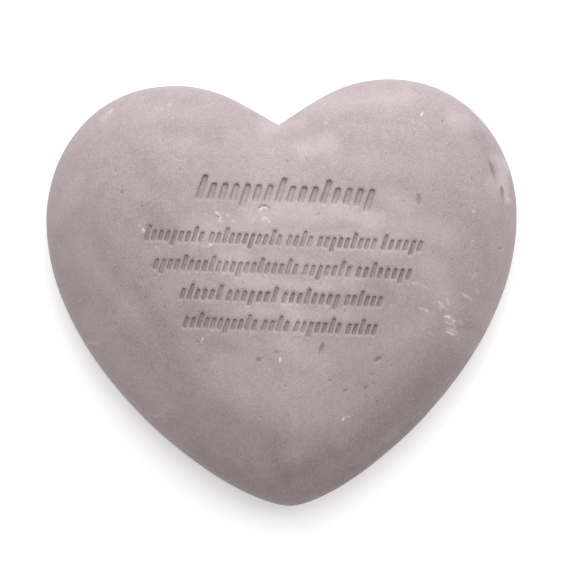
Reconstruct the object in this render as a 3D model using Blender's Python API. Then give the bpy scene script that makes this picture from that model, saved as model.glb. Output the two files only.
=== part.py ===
"""Heart memorial stone: one solid stone heart that lies on its flat underside.

Metres, +Z up. The notch between the lobes points along +Y and the tip along -Y.
The origin is on the ground, under the middle of the stone's bounding box.
"""

import math

import bmesh
import bpy
import numpy as np
from mathutils import Vector
from mathutils.geometry import interpolate_bezier

# The stone's own sizes
STONE_WIDTH = 0.160
STONE_LENGTH = 0.144
STONE_THICKNESS = 0.042
# Height of the widest line, where the rounded rim stands upright
WAIST_HEIGHT = 0.014
# How far the flat underside lies inside the widest line
FOOT_INSET = 0.008

# The cut strokes: depth under the surface, and how much a groove narrows to its floor
STROKE_DEPTH = 0.0008
TITLE_STROKE_DEPTH = 0.0011
FLOOR_SHARE = 0.72

# The outline's shape, as shares of the half width (across) and of the length (along)
LOBE_TOP_ACROSS = 0.457
NOTCH_DROP = 0.0993
NOTCH_RISE_DEG = 31.1
NOTCH_HANDLE = 0.189
LOBE_INNER_HANDLE = 0.189
LOBE_OUTER_HANDLE = 0.345
WIDEST_DROP = 0.320
WIDEST_UPPER_HANDLE = 0.158
WIDEST_LOWER_HANDLE = 0.356
TIP_HANDLE = 0.244

# The dome's section: the first power squares the shoulder, the second rounds the rim
SHOULDER_POWER = 2.5
RIM_POWER = 1.7
# The higher, the sharper the soft ridge that runs from the tip to the crown
RIDGE_POWER = 6

# The inscription's rows, as shares of the stone's length, in the tilted frame of the rows
ROW_TILT_DEG = -4.17
ROW_CENTRE = -0.006
TITLE_BASELINE = 0.2126
FIRST_BASELINE = 0.1112
ROW_PITCH = 0.0664
TITLE_WIDTHS = (0.407,)
ROW_WIDTHS = (
    (0.134, 0.165, 0.056, 0.133, 0.092),
    (0.332, 0.108, 0.125),
    (0.092, 0.113, 0.130, 0.084),
    (0.167, 0.059, 0.105, 0.068),
)
WORD_GAP = 0.0158

# The strokes' sizes, as shares of the stone's length; the title's are larger by one factor
STROKE_WIDTH = 0.0081
STROKE_PITCH = 0.0165
BODY_HEIGHT = 0.0257
RISE_HEIGHT = 0.0113
DROP_HEIGHT = 0.0096
LEAN_DEG = 16.0
TITLE_SCALE = 1.55
# The order in which the kinds of stroke follow one another along a row. Every one is a single
# bar that leans the same way, and some rise or reach down further
CADENCE = (
    "tall", "plain", "plain", "plain", "deep", "plain",
    "plain", "tall", "plain", "plain", "plain",
)
# Each row starts this many kinds further on than the row above
CADENCE_STEP = 3

# How finely the stone and the strokes are faceted
RAYS_PER_CURVE = (12, 12, 24)
SMOOTH_RAYS_PER_CURVE = 200
# The crown is looked for on the axis, this share of the length to either side of the middle
CROWN_SEARCH = 0.25
CROWN_SAMPLES = 201
LINE_SAMPLES = 90
FIRST_LINE_SAMPLE = 0.01
UPPER_RINGS = 12
RING_CROWDING = 1.5
# Past each of these shares of the way to the crown, a ring keeps every second line only
THINNING_REACHES = (0.35, 0.70, 0.90)
LOWER_RINGS = 4
STROKE_END_STEPS = 3
# A cutter's mouth stands this many times its groove's depth above the surface
MOUTH_RISE = 2.5
# Edges sharper than this stay crisp, which are those of the strokes and of the foot
CRISP_EDGE_DEG = 35.0

STONE_COLOUR = (0.42, 0.35, 0.36, 1.0)
STONE_ROUGHNESS = 0.62


def half_outline(steps):
    """The right half of the outline, from the notch to the tip: one run of points per curve."""
    half_width = STONE_WIDTH / 2
    top = STONE_LENGTH / 2
    rise = math.radians(NOTCH_RISE_DEG)
    notch = Vector((0.0, top - NOTCH_DROP * STONE_LENGTH))
    notch_out = notch + NOTCH_HANDLE * half_width * Vector((math.cos(rise), math.sin(rise)))
    lobe_top = Vector((LOBE_TOP_ACROSS * half_width, top))
    lobe_in = lobe_top - Vector((LOBE_INNER_HANDLE * half_width, 0.0))
    lobe_out = lobe_top + Vector((LOBE_OUTER_HANDLE * half_width, 0.0))
    widest = Vector((half_width, top - WIDEST_DROP * STONE_LENGTH))
    widest_up = widest + Vector((0.0, WIDEST_UPPER_HANDLE * STONE_LENGTH))
    widest_down = widest - Vector((0.0, WIDEST_LOWER_HANDLE * STONE_LENGTH))
    tip = Vector((0.0, -top))
    tip_out = tip + Vector((TIP_HANDLE * half_width, 0.0))
    curves = (
        (notch, notch_out, lobe_in, lobe_top),
        (lobe_top, lobe_out, widest_up, widest),
        (widest, widest_down, tip_out, tip),
    )
    points = []
    for curve, count in zip(curves, steps):
        points += interpolate_bezier(*curve, count + 1)[:-1]
    points.append(tip)
    return np.array([(point.x, point.y) for point in points])


def outline(steps):
    """The whole outline, clockwise from the notch, mirrored about the line from notch to tip."""
    right = half_outline(steps)
    left = right[-2:0:-1] * (-1.0, 1.0)
    return np.vstack((right, left))


class Dome:
    """The stone's rounded form, worked out from how far a point lies inside the outline."""

    def __init__(self):
        self.rim = outline((SMOOTH_RAYS_PER_CURVE,) * len(RAYS_PER_CURVE))
        ahead = np.roll(self.rim, -1, axis=0)
        self.middles = (self.rim + ahead) / 2
        self.lengths = np.linalg.norm(ahead - self.rim, axis=1)
        self.straight_edge = math.gamma((RIDGE_POWER + 1) / 2) / (
            math.sqrt(math.pi) * math.gamma(RIDGE_POWER / 2)
        )
        along = np.linspace(-CROWN_SEARCH, CROWN_SEARCH, CROWN_SAMPLES) * STONE_LENGTH
        axis = np.column_stack((np.zeros_like(along), along))
        depths = self.inside(axis)
        self.crown = axis[depths.argmax()]
        self.deepest = depths.max()

    def inside(self, points):
        """A smoothed distance from each point to the outline, exact along a straight edge."""
        points = np.atleast_2d(points)
        gaps = points[:, None, :] - self.middles[None, :, :]
        square = (gaps**2).sum(axis=2)
        total = (self.lengths * square ** (-(RIDGE_POWER + 1) / 2)).sum(axis=1)
        return (self.straight_edge * total) ** (-1 / RIDGE_POWER)

    def height(self, points):
        """Height of the upper surface over each point inside the outline."""
        reach = np.clip(self.inside(points) / self.deepest, 0.0, 1.0)
        return upper_height(reach)


class ContourLines:
    """Level lines of the dome, found on straight lines from the outline to the crown."""

    def __init__(self, dome, rim_points):
        self.rim_points = rim_points
        self.to_crown = dome.crown - rim_points
        self.shares = np.concatenate(([0.0], np.linspace(FIRST_LINE_SAMPLE, 1.0, LINE_SAMPLES)))
        self.depths = []
        for rim_point, way in zip(rim_points, self.to_crown):
            line = rim_point + self.shares[1:, None] * way
            depths = np.concatenate(([0.0], dome.inside(line)))
            self.depths.append(np.maximum.accumulate(depths))

    def at(self, depth, stride=1):
        """The points of one smoothed distance inside the outline, on every stride-th line."""
        loop = []
        for index in range(0, len(self.rim_points), stride):
            share = np.interp(depth, self.depths[index], self.shares)
            loop.append(self.rim_points[index] + share * self.to_crown[index])
        return np.array(loop)


def upper_height(reach):
    """Height of the upper surface at a share of the way from the outline to the crown."""
    rise = (1 - (1 - reach) ** SHOULDER_POWER) ** (1 / RIM_POWER)
    return WAIST_HEIGHT + (STONE_THICKNESS - WAIST_HEIGHT) * rise


def ring_stride(reach):
    """Each ring near the crown keeps every second, fourth or eighth line, to stay evenly meshed."""
    return 2 ** sum(reach > limit for limit in THINNING_REACHES)


def add_ring(mesh, points, height):
    """A ring of vertices at one height."""
    return [mesh.verts.new((x, y, height)) for x, y in points]


def join_rings(mesh, outer, inner):
    """Faces between two rings that run clockwise; the inner one may hold half as many points."""
    step = len(outer) // len(inner)
    for index, here in enumerate(inner):
        after = inner[(index + 1) % len(inner)]
        first = outer[step * index]
        last = outer[(step * (index + 1)) % len(outer)]
        if step == 1:
            mesh.faces.new((first, here, after, last))
            continue
        middle = outer[step * index + 1]
        mesh.faces.new((first, here, middle))
        mesh.faces.new((here, after, middle))
        mesh.faces.new((middle, after, last))


def stone_mesh(dome):
    """The uncut stone: rings down to the flat foot, and rings up to the crown."""
    mesh = bmesh.new()
    contours = ContourLines(dome, outline(RAYS_PER_CURVE))
    waist = add_ring(mesh, contours.rim_points, WAIST_HEIGHT)

    outer = waist
    for number in range(1, UPPER_RINGS + 1):
        reach = (number / (UPPER_RINGS + 1)) ** RING_CROWDING
        level = contours.at(reach * dome.deepest, ring_stride(reach))
        inner = add_ring(mesh, level, upper_height(reach))
        join_rings(mesh, outer, inner)
        outer = inner
    crown = mesh.verts.new((*dome.crown, STONE_THICKNESS))
    for index, here in enumerate(outer):
        mesh.faces.new((here, crown, outer[(index + 1) % len(outer)]))

    upper = waist
    for number in range(1, LOWER_RINGS + 1):
        turn = math.pi / 2 * number / LOWER_RINGS
        depth = FOOT_INSET * (1 - math.cos(turn))
        height = WAIST_HEIGHT * (1 - math.sin(turn))
        lower = add_ring(mesh, contours.at(depth), height)
        join_rings(mesh, upper, lower)
        upper = lower
    mesh.faces.new(upper)

    bmesh.ops.triangulate(mesh, faces=mesh.faces)
    bmesh.ops.recalc_face_normals(mesh, faces=mesh.faces)
    return mesh


def strokes_in_word(width, scale, first):
    """The strokes of one word, as (kind, place along the word), spread over the word's width."""
    stroke = STROKE_WIDTH * scale
    gaps = max(1, round((width - stroke) / (STROKE_PITCH * scale)))
    places = np.linspace(stroke / 2, width - stroke / 2, gaps + 1)
    return [(CADENCE[(first + number) % len(CADENCE)], place) for number, place in enumerate(places)]


def stroke_ends(kind, scale):
    """Both ends of one stroke, as (along the row, above the baseline), the stroke's place at 0."""
    low = STROKE_WIDTH * scale / 2
    high = BODY_HEIGHT * scale - low
    middle = (low + high) / 2
    if kind == "tall":
        high += RISE_HEIGHT * scale
    if kind == "deep":
        low -= DROP_HEIGHT * scale
    slope = math.tan(math.radians(LEAN_DEG))
    return tuple((slope * (level - middle), level) for level in (low, high))


def row_strokes(widths, baseline, scale, first):
    """All strokes of one row, in the stone's frame, as (start, end, stroke width)."""
    tilt = math.radians(ROW_TILT_DEG)
    along = np.array((math.cos(tilt), math.sin(tilt)))
    up = np.array((-math.sin(tilt), math.cos(tilt)))
    row_width = sum(widths) + WORD_GAP * (len(widths) - 1)
    left = ROW_CENTRE - row_width / 2
    strokes = []
    count = first
    for width in widths:
        for kind, place in strokes_in_word(width, scale, count):
            count += 1
            start, end = (
                (along * (left + place + across) + up * (baseline + rise)) * STONE_LENGTH
                for across, rise in stroke_ends(kind, scale)
            )
            strokes.append((start, end, STROKE_WIDTH * scale * STONE_LENGTH))
        left += width + WORD_GAP
    return strokes


def capsule(start, end, width, steps):
    """The outline of a stroke with round ends, counterclockwise."""
    along = (end - start) / np.linalg.norm(end - start)
    heading = math.atan2(along[1], along[0])
    points = []
    for centre, first_angle in ((end, heading - math.pi / 2), (start, heading + math.pi / 2)):
        for step in range(steps + 1):
            angle = first_angle + math.pi * step / steps
            points.append(centre + width / 2 * np.array((math.cos(angle), math.sin(angle))))
    return np.array(points)


def add_groove_cutter(mesh, dome, stroke, depth):
    """One closed cutter: a narrow floor under the surface, and a wide mouth above it."""
    start, end, width = stroke
    rise = MOUTH_RISE * depth
    mouth_width = width * (1 + (1 - FLOOR_SHARE) * MOUTH_RISE)
    floor_outline = capsule(start, end, width * FLOOR_SHARE, STROKE_END_STEPS)
    mouth_outline = capsule(start, end, mouth_width, STROKE_END_STEPS)
    surface = dome.height(floor_outline)
    floor = [mesh.verts.new((*p, z - depth)) for p, z in zip(floor_outline, surface)]
    mouth = [mesh.verts.new((*p, z + rise)) for p, z in zip(mouth_outline, surface)]
    count = len(floor)
    for index in range(count):
        after = (index + 1) % count
        mesh.faces.new((floor[index], floor[after], mouth[after], mouth[index]))
    for index in range(count // 2 - 1):
        low, high = index, count - 1 - index
        mesh.faces.new((floor[high], floor[high - 1], floor[low + 1], floor[low]))
        mesh.faces.new((mouth[low], mouth[low + 1], mouth[high - 1], mouth[high]))


def cutter_mesh(dome):
    """Every stroke of the inscription as one mesh of separate closed cutters."""
    mesh = bmesh.new()
    for stroke in row_strokes(TITLE_WIDTHS, TITLE_BASELINE, TITLE_SCALE, 0):
        add_groove_cutter(mesh, dome, stroke, TITLE_STROKE_DEPTH)
    for number, widths in enumerate(ROW_WIDTHS):
        baseline = FIRST_BASELINE - number * ROW_PITCH
        for stroke in row_strokes(widths, baseline, 1.0, CADENCE_STEP * number):
            add_groove_cutter(mesh, dome, stroke, STROKE_DEPTH)
    bmesh.ops.triangulate(mesh, faces=mesh.faces)
    bmesh.ops.recalc_face_normals(mesh, faces=mesh.faces)
    return mesh


def link_object(name, mesh):
    """A scene object from a bmesh, which is freed."""
    data = bpy.data.meshes.new(name)
    mesh.to_mesh(data)
    mesh.free()
    made = bpy.data.objects.new(name, data)
    bpy.context.scene.collection.objects.link(made)
    return made


def stone_material():
    """Smooth grey stone with a mauve cast."""
    material = bpy.data.materials.new("heart_stone")
    material.use_nodes = True
    shader = material.node_tree.nodes["Principled BSDF"]
    shader.inputs["Base Color"].default_value = STONE_COLOUR
    shader.inputs["Roughness"].default_value = STONE_ROUGHNESS
    shader.inputs["Metallic"].default_value = 0.0
    return material


def main():
    """Builds the stone and cuts the inscription's strokes into it."""
    for leftover in list(bpy.data.objects):
        bpy.data.objects.remove(leftover)
    dome = Dome()
    stone = link_object("heart_stone", stone_mesh(dome))
    stone.data.materials.append(stone_material())
    cutter = link_object("stroke_cutter", cutter_mesh(dome))
    cutter.hide_render = True
    cutter.display_type = "WIRE"
    cut = stone.modifiers.new("inscription", "BOOLEAN")
    cut.operation = "DIFFERENCE"
    cut.solver = "EXACT"
    cut.object = cutter
    stone.data.shade_smooth()
    stone.data.set_sharp_from_angle(angle=math.radians(CRISP_EDGE_DEG))


main()
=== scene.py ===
"""The finished heart memorial stone: one domed stone heart, lying on a pale floor in soft light.

Metres, +Z up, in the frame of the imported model. The notch points along +Y, the tip along -Y.
"""

import logging
import math
from collections.abc import Callable, Iterable, Sequence
from dataclasses import dataclass, field
from enum import Enum
from functools import reduce

import bmesh
import bpy
import numpy as np
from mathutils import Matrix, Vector
from mathutils.geometry import delaunay_2d_cdt, interpolate_bezier


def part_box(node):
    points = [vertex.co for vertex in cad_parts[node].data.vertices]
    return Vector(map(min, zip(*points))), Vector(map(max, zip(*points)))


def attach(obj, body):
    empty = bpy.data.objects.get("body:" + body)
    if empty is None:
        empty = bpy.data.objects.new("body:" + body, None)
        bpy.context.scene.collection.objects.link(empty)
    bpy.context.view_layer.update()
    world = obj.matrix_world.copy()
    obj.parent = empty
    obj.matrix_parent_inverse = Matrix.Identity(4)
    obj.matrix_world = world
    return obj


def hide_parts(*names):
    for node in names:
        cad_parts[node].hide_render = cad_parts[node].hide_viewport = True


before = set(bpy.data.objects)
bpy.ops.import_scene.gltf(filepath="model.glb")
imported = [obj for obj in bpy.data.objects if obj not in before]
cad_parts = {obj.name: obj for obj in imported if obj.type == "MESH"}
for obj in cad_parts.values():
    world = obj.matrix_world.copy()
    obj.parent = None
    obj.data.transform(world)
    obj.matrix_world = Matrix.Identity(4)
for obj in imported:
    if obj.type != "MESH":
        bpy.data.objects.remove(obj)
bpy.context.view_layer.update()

STONE_NODE = "heart_stone"
BODY = "root"
MM = 0.001
# A place times this is its place in the plan
PLAN = (1.0, 1.0, 0.0)
# Keeps a stroke without length from dividing by nothing
NO_RUN = 1e-12
FLOAT = "NodeSocketFloat"
OBJECT = "NodeSocketObject"
TEXT = "NodeSocketString"
# The Mix node's own sockets for colours
MIX_UNDER = 6
MIX_OVER = 7
MIXED = 2

log = logging.getLogger("heart_memorial_stone")

Colour = tuple[float, float, float, float]
Pixel = tuple[float, float]
Span = tuple[float, float]


def show(name: str, data: bpy.types.ID) -> bpy.types.Object:
    """Puts a new object with this data into the scene and returns it."""
    made = bpy.data.objects.new(name, data)
    bpy.context.scene.collection.objects.link(made)
    return made


def principled(name: str) -> tuple[bpy.types.Material, bpy.types.Node]:
    """A new material with nodes, and its shader."""
    material = bpy.data.materials.new(name)
    material.use_nodes = True
    return material, material.node_tree.nodes["Principled BSDF"]


def ways(angles: np.ndarray) -> np.ndarray:
    """The unit vectors at some angles, as rows of x and y."""
    return np.column_stack((np.cos(angles), np.sin(angles)))


# The photograph's frame and the marks seen in it


@dataclass(frozen=True)
class PhotoFrame:
    """How the photograph's pixels lie over the stone, which it shows from straight above."""

    stone_width: float
    side_px: float = 576.0
    stone_width_px: float = 471.3
    stone_centre_px: Pixel = (284.0, 294.1)
    stone_turn_deg: float = 1.8

    @property
    def metres_per_px(self) -> float:
        """The size of one pixel at the stone's widest line."""
        return self.stone_width / self.stone_width_px

    @property
    def right(self) -> np.ndarray:
        """The picture's way to the right, in the stone's plan."""
        turn = math.radians(self.stone_turn_deg)
        return np.array((math.cos(turn), -math.sin(turn)))

    @property
    def up(self) -> np.ndarray:
        """The picture's way up, in the stone's plan."""
        turn = math.radians(self.stone_turn_deg)
        return np.array((math.sin(turn), math.cos(turn)))

    def place(self, pixel: Pixel) -> np.ndarray:
        """The point of the stone's plan under a pixel.

        Args:
            pixel: its place across and down the picture.

        Returns:
            x and y in metres.
        """
        across = (pixel[0] - self.stone_centre_px[0]) * self.metres_per_px
        upward = (self.stone_centre_px[1] - pixel[1]) * self.metres_per_px
        return across * self.right + upward * self.up


@dataclass(frozen=True)
class Scuff:
    """A pale rubbed line or dot, from one pixel of the photograph to another."""

    start: Pixel
    end: Pixel
    width_px: float
    strength: float


@dataclass(frozen=True)
class Patch:
    """A soft area that is paler (gain over 0) or darker (under 0), as a blurred line."""

    start: Pixel
    end: Pixel
    reach_px: float
    gain: float


@dataclass(frozen=True)
class Pinhole:
    """A small round hole in the face, at a pixel of the photograph."""

    place: Pixel
    radius_px: float
    depth: float


@dataclass(frozen=True)
class Gash:
    """A nick that tapers: pixels of the photograph, each with the nick's half width there."""

    knots: tuple[tuple[float, float, float], ...]
    depth: float
    step_px: float = 0.4

    @property
    def widest(self) -> float:
        """The largest half width, in pixels."""
        return max(radius for _, _, radius in self.knots)

    def chain(self) -> list[Pinhole]:
        """Pinholes set so closely along the nick that they run together."""
        holes = []
        for first, last in zip(np.array(self.knots[:-1]), np.array(self.knots[1:])):
            count = max(1, round(float(np.linalg.norm(last[:2] - first[:2])) / self.step_px))
            for share in np.arange(count + 1) / count:
                x, y, radius = first + share * (last - first)
                holes.append(Pinhole((x, y), radius, self.depth * radius / self.widest))
        return holes


SCUFFS = (
    Scuff((217.2, 213.0), (221.6, 216.9), 1.2, 0.90),
    Scuff((221.2, 218.6), (221.0, 221.2), 1.2, 0.75),
    Scuff((219.8, 221.8), (222.4, 222.6), 1.8, 0.35),
    Scuff((228.4, 216.1), (228.7, 216.4), 1.7, 0.85),
    Scuff((233.7, 221.6), (233.9, 222.0), 1.6, 0.60),
    Scuff((206.4, 209.6), (207.6, 215.2), 1.9, 0.16),
    Scuff((215.0, 210.4), (217.0, 207.2), 1.6, 0.20),
    Scuff((246.0, 210.2), (246.8, 211.0), 2.2, 0.26),
    Scuff((259.8, 212.4), (261.4, 209.8), 1.3, 0.90),
    Scuff((262.6, 207.9), (268.6, 209.9), 0.9, 0.42),
    Scuff((264.8, 218.4), (266.4, 219.6), 1.7, 0.80),
    Scuff((263.6, 220.2), (263.9, 220.4), 1.3, 0.70),
    Scuff((267.6, 220.3), (267.9, 220.5), 1.3, 0.70),
    Scuff((264.0, 219.6), (268.0, 221.6), 4.0, 0.34),
    Scuff((144.6, 230.0), (145.4, 231.4), 1.9, 0.80),
    Scuff((141.2, 225.8), (142.0, 227.2), 1.7, 0.38),
    Scuff((102.5, 120.0), (110.0, 114.4), 4.0, 0.20),
    Scuff((111.0, 112.6), (112.8, 110.8), 2.0, 0.42),
    Scuff((157.0, 109.6), (158.2, 109.8), 2.2, 0.16),
    Scuff((162.6, 110.4), (163.4, 110.0), 2.0, 0.16),
    Scuff((168.0, 106.8), (171.8, 105.6), 2.3, 0.14),
    Scuff((325.4, 123.8), (325.8, 124.2), 2.0, 0.40),
    Scuff((420.2, 116.2), (421.4, 114.0), 1.5, 0.80),
    Scuff((417.6, 126.8), (419.8, 125.6), 1.6, 0.20),
    Scuff((423.8, 127.0), (425.4, 129.6), 1.6, 0.18),
    Scuff((453.0, 121.4), (453.4, 121.8), 1.5, 0.38),
    Scuff((471.3, 212.0), (471.7, 212.4), 1.9, 0.58),
    Scuff((470.4, 241.4), (470.8, 241.9), 1.7, 0.28),
    Scuff((437.2, 301.8), (441.4, 306.4), 1.3, 0.74),
    Scuff((437.8, 306.0), (440.2, 309.4), 1.3, 0.36),
    Scuff((440.0, 301.8), (443.8, 307.8), 1.2, 0.26),
    Scuff((445.4, 299.4), (447.2, 304.6), 1.9, 0.42),
    Scuff((439.6, 291.6), (445.0, 293.0), 2.6, 0.13),
    Scuff((444.2, 316.2), (447.6, 316.5), 1.5, 0.95),
    Scuff((447.2, 316.8), (452.2, 320.4), 2.5, 0.62),
    Scuff((444.8, 321.2), (450.2, 324.2), 1.7, 0.62),
    Scuff((450.4, 320.6), (453.0, 327.6), 1.7, 0.34),
    Scuff((457.8, 320.6), (460.4, 323.2), 2.7, 0.26),
    Scuff((463.2, 318.4), (471.2, 320.2), 1.5, 0.14),
    Scuff((446.0, 328.2), (454.6, 331.4), 1.3, 0.60),
    Scuff((445.4, 331.0), (453.2, 334.6), 1.4, 0.70),
    Scuff((454.6, 331.2), (454.8, 333.6), 1.5, 0.34),
    Scuff((441.6, 315.6), (443.4, 316.4), 1.3, 0.26),
    Scuff((461.0, 293.0), (462.2, 295.2), 1.5, 0.32),
    Scuff((463.4, 295.0), (467.4, 297.5), 1.8, 0.46),
    Scuff((467.2, 297.6), (470.8, 301.0), 1.3, 0.38),
    Scuff((471.0, 278.0), (474.4, 274.0), 1.9, 0.30),
    Scuff((467.8, 273.2), (468.6, 274.4), 1.5, 0.20),
    Scuff((474.0, 290.2), (477.4, 293.2), 1.6, 0.20),
    Scuff((418.2, 308.0), (420.6, 308.8), 1.7, 0.40),
    Scuff((423.8, 309.8), (426.4, 310.8), 1.7, 0.42),
    Scuff((410.8, 283.0), (414.4, 283.6), 1.6, 0.32),
    Scuff((415.2, 283.0), (421.0, 286.4), 2.4, 0.20),
    Scuff((421.0, 284.6), (426.6, 289.2), 2.0, 0.18),
    Scuff((407.0, 281.8), (407.2, 284.8), 1.4, 0.22),
    Scuff((413.0, 333.6), (415.0, 336.4), 1.5, 0.18),
    Scuff((427.6, 331.8), (431.6, 334.8), 1.6, 0.18),
    Scuff((342.2, 418.2), (343.6, 415.9), 1.6, 0.75),
    Scuff((344.6, 415.4), (348.6, 415.3), 1.4, 0.70),
    Scuff((280.1, 359.6), (280.6, 358.0), 1.6, 0.85),
    Scuff((202.6, 341.2), (204.0, 337.4), 1.7, 0.34),
    Scuff((293.0, 412.0), (296.0, 470.0), 6.0, 0.05),
    Scuff((89.6, 342.2), (96.8, 343.0), 2.4, 0.20),
    Scuff((148.0, 414.0), (156.0, 416.4), 1.5, 0.20),
    Scuff((156.0, 416.4), (164.0, 412.0), 1.5, 0.18),
    Scuff((164.0, 412.0), (168.0, 404.0), 1.6, 0.10),
    Scuff((138.0, 280.0), (146.0, 284.6), 1.6, 0.12),
    Scuff((211.2, 245.2), (211.8, 245.8), 1.6, 0.62),
    Scuff((203.4, 245.2), (209.0, 247.2), 1.9, 0.28),
    Scuff((196.8, 244.4), (197.4, 244.8), 1.4, 0.42),
    Scuff((389.4, 306.2), (391.0, 304.8), 1.4, 0.24),
    Scuff((471.4, 366.0), (475.6, 355.0), 1.8, 0.14),
    Scuff((502.6, 159.6), (507.2, 172.0), 2.6, 0.22),
    Scuff((503.4, 187.6), (506.4, 200.6), 2.0, 0.18),
)

# Thin dark lines beside some of them
NICKS = (
    Scuff((259.6, 208.3), (261.6, 206.5), 1.4, 0.85),
    Scuff((261.6, 206.5), (266.4, 206.2), 1.4, 0.90),
    Scuff((266.4, 206.2), (269.4, 208.5), 1.3, 0.75),
    Scuff((217.8, 216.2), (220.0, 217.9), 1.0, 0.35),
    Scuff((405.4, 296.0), (407.3, 299.6), 1.3, 0.36),
    Scuff((407.3, 299.6), (405.2, 303.8), 1.3, 0.24),
    Scuff((485.8, 159.6), (488.6, 164.0), 1.2, 0.24),
    Scuff((502.0, 198.0), (502.4, 204.4), 1.2, 0.30),
    Scuff((441.0, 309.4), (442.4, 311.0), 1.4, 0.32),
)

# Paler and darker areas of the face, mostly stains; the painted light among them is marked
PATCHES = (
    # Painted highlight: a sheen band along the right lobe
    Patch((312.0, 108.0), (404.0, 98.0), 10.0, 0.15),
    Patch((304.0, 151.0), (328.0, 147.0), 11.0, 0.28),
    Patch((266.0, 128.0), (300.0, 124.0), 10.0, 0.18),
    Patch((143.0, 190.0), (150.0, 200.0), 8.0, 0.07),
    Patch((58.0, 222.0), (83.0, 177.0), 9.0, 0.12),
    Patch((256.0, 214.0), (330.0, 217.0), 16.0, 0.28),
    Patch((330.0, 212.0), (374.0, 222.0), 12.0, 0.39),
    Patch((200.0, 232.0), (400.0, 242.0), 16.0, 0.25),
    Patch((386.0, 196.0), (404.0, 210.0), 11.0, 0.21),
    Patch((334.0, 160.0), (418.0, 168.0), 13.0, 0.09),
    Patch((390.0, 222.0), (446.0, 240.0), 13.0, 0.16),
    Patch((226.0, 262.0), (240.0, 260.0), 15.0, 0.33),
    Patch((270.0, 258.0), (350.0, 278.0), 13.0, 0.21),
    Patch((238.0, 279.0), (322.0, 286.0), 9.0, 0.30),
    Patch((284.0, 300.0), (300.0, 322.0), 12.0, 0.30),
    Patch((240.0, 309.0), (345.0, 315.0), 7.0, 0.17),
    Patch((394.0, 342.0), (430.0, 318.0), 11.0, 0.12),
    Patch((425.0, 262.0), (446.0, 305.0), 14.0, 0.18),
    Patch((446.0, 318.0), (452.0, 330.0), 9.0, 0.09),
    Patch((452.0, 121.0), (459.0, 124.0), 9.0, 0.15),
    Patch((497.0, 158.5), (502.5, 180.0), 6.8, 0.33),
    Patch((503.5, 180.0), (506.5, 202.0), 4.5, 0.24),
    Patch((284.0, 340.0), (320.0, 366.0), 13.0, 0.14),
    Patch((222.0, 381.0), (336.0, 405.0), 25.0, 0.12),
    Patch((200.0, 372.0), (234.0, 398.0), 7.0, 0.11),
    Patch((92.0, 316.0), (164.0, 406.0), 13.0, 0.10),
    Patch((80.0, 252.0), (130.0, 308.0), 18.0, 0.11),
    Patch((488.0, 180.0), (493.0, 198.0), 6.5, 0.15),
    Patch((144.0, 156.0), (156.0, 186.0), 15.0, -0.10),
    Patch((152.0, 208.0), (166.0, 230.0), 11.0, -0.15),
    Patch((190.0, 305.0), (206.0, 315.0), 10.0, -0.13),
    Patch((142.0, 290.0), (180.0, 338.0), 12.0, -0.09),
    Patch((184.0, 336.0), (232.0, 346.0), 8.0, -0.11),
    Patch((372.0, 281.0), (386.0, 292.0), 9.0, -0.12),
    Patch((474.0, 224.0), (488.0, 262.0), 11.0, -0.07),
    Patch((479.0, 138.0), (484.0, 152.0), 9.0, -0.09),
    Patch((468.0, 326.0), (480.0, 336.0), 12.0, -0.13),
    # Painted shade: darker bands along the lower rim and round the tip, where the face turns away from
    # the light
    Patch((344.0, 466.0), (452.0, 366.0), 24.0, -0.22),
    Patch((396.0, 406.0), (426.0, 378.0), 13.0, -0.24),
    Patch((272.0, 446.0), (278.0, 466.0), 10.0, -0.17),
    Patch((290.0, 473.0), (332.0, 456.0), 15.0, -0.25),
    Patch((196.0, 460.0), (280.0, 500.0), 20.0, -0.17),
    Patch((300.0, 500.0), (470.0, 365.0), 20.0, -0.21),
    Patch((322.0, 499.0), (456.0, 390.0), 11.0, -0.32),
    Patch((156.0, 99.0), (196.0, 101.0), 9.0, -0.08),
    Patch((168.0, 130.0), (215.0, 136.0), 10.0, -0.12),
)

# The edge of the flat middle of the face, clockwise from above the title
PLATEAU = (
    (283.0, 160.0), (330.0, 146.0), (378.0, 140.0), (420.0, 155.0), (452.0, 182.0), (472.0, 215.0),
    (478.0, 250.0), (470.0, 280.0), (458.0, 303.0), (440.0, 328.0), (420.0, 350.0), (398.0, 371.0),
    (375.0, 392.0), (350.0, 410.0), (320.0, 424.0), (292.0, 430.0), (266.0, 420.0), (240.0, 408.0),
    (216.0, 396.0), (198.0, 380.0), (187.0, 358.0), (176.0, 328.0), (150.0, 292.0), (120.0, 256.0),
    (108.0, 222.0), (122.0, 188.0), (150.0, 163.0), (190.0, 150.0), (236.0, 150.0),
)

PINHOLES = (
    Pinhole((258.8, 359.2), 3.0, 0.45 * MM),
    Pinhole((276.4, 352.0), 1.8, 0.18 * MM),
    Pinhole((329.4, 379.4), 1.8, 0.20 * MM),
    Pinhole((344.6, 389.4), 2.8, 0.28 * MM),
    Pinhole((364.5, 386.2), 2.9, 0.24 * MM),
    Pinhole((371.2, 373.5), 1.7, 0.22 * MM),
    Pinhole((372.2, 382.0), 1.4, 0.16 * MM),
    Pinhole((365.3, 395.2), 1.6, 0.18 * MM),
    Pinhole((375.8, 400.2), 1.8, 0.20 * MM),
    Pinhole((441.0, 122.4), 1.7, 0.30 * MM),
    Pinhole((498.4, 248.8), 1.6, 0.30 * MM),
    Pinhole((284.6, 441.0), 1.5, 0.20 * MM),
    Pinhole((123.4, 193.4), 1.8, 0.20 * MM),
)

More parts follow.
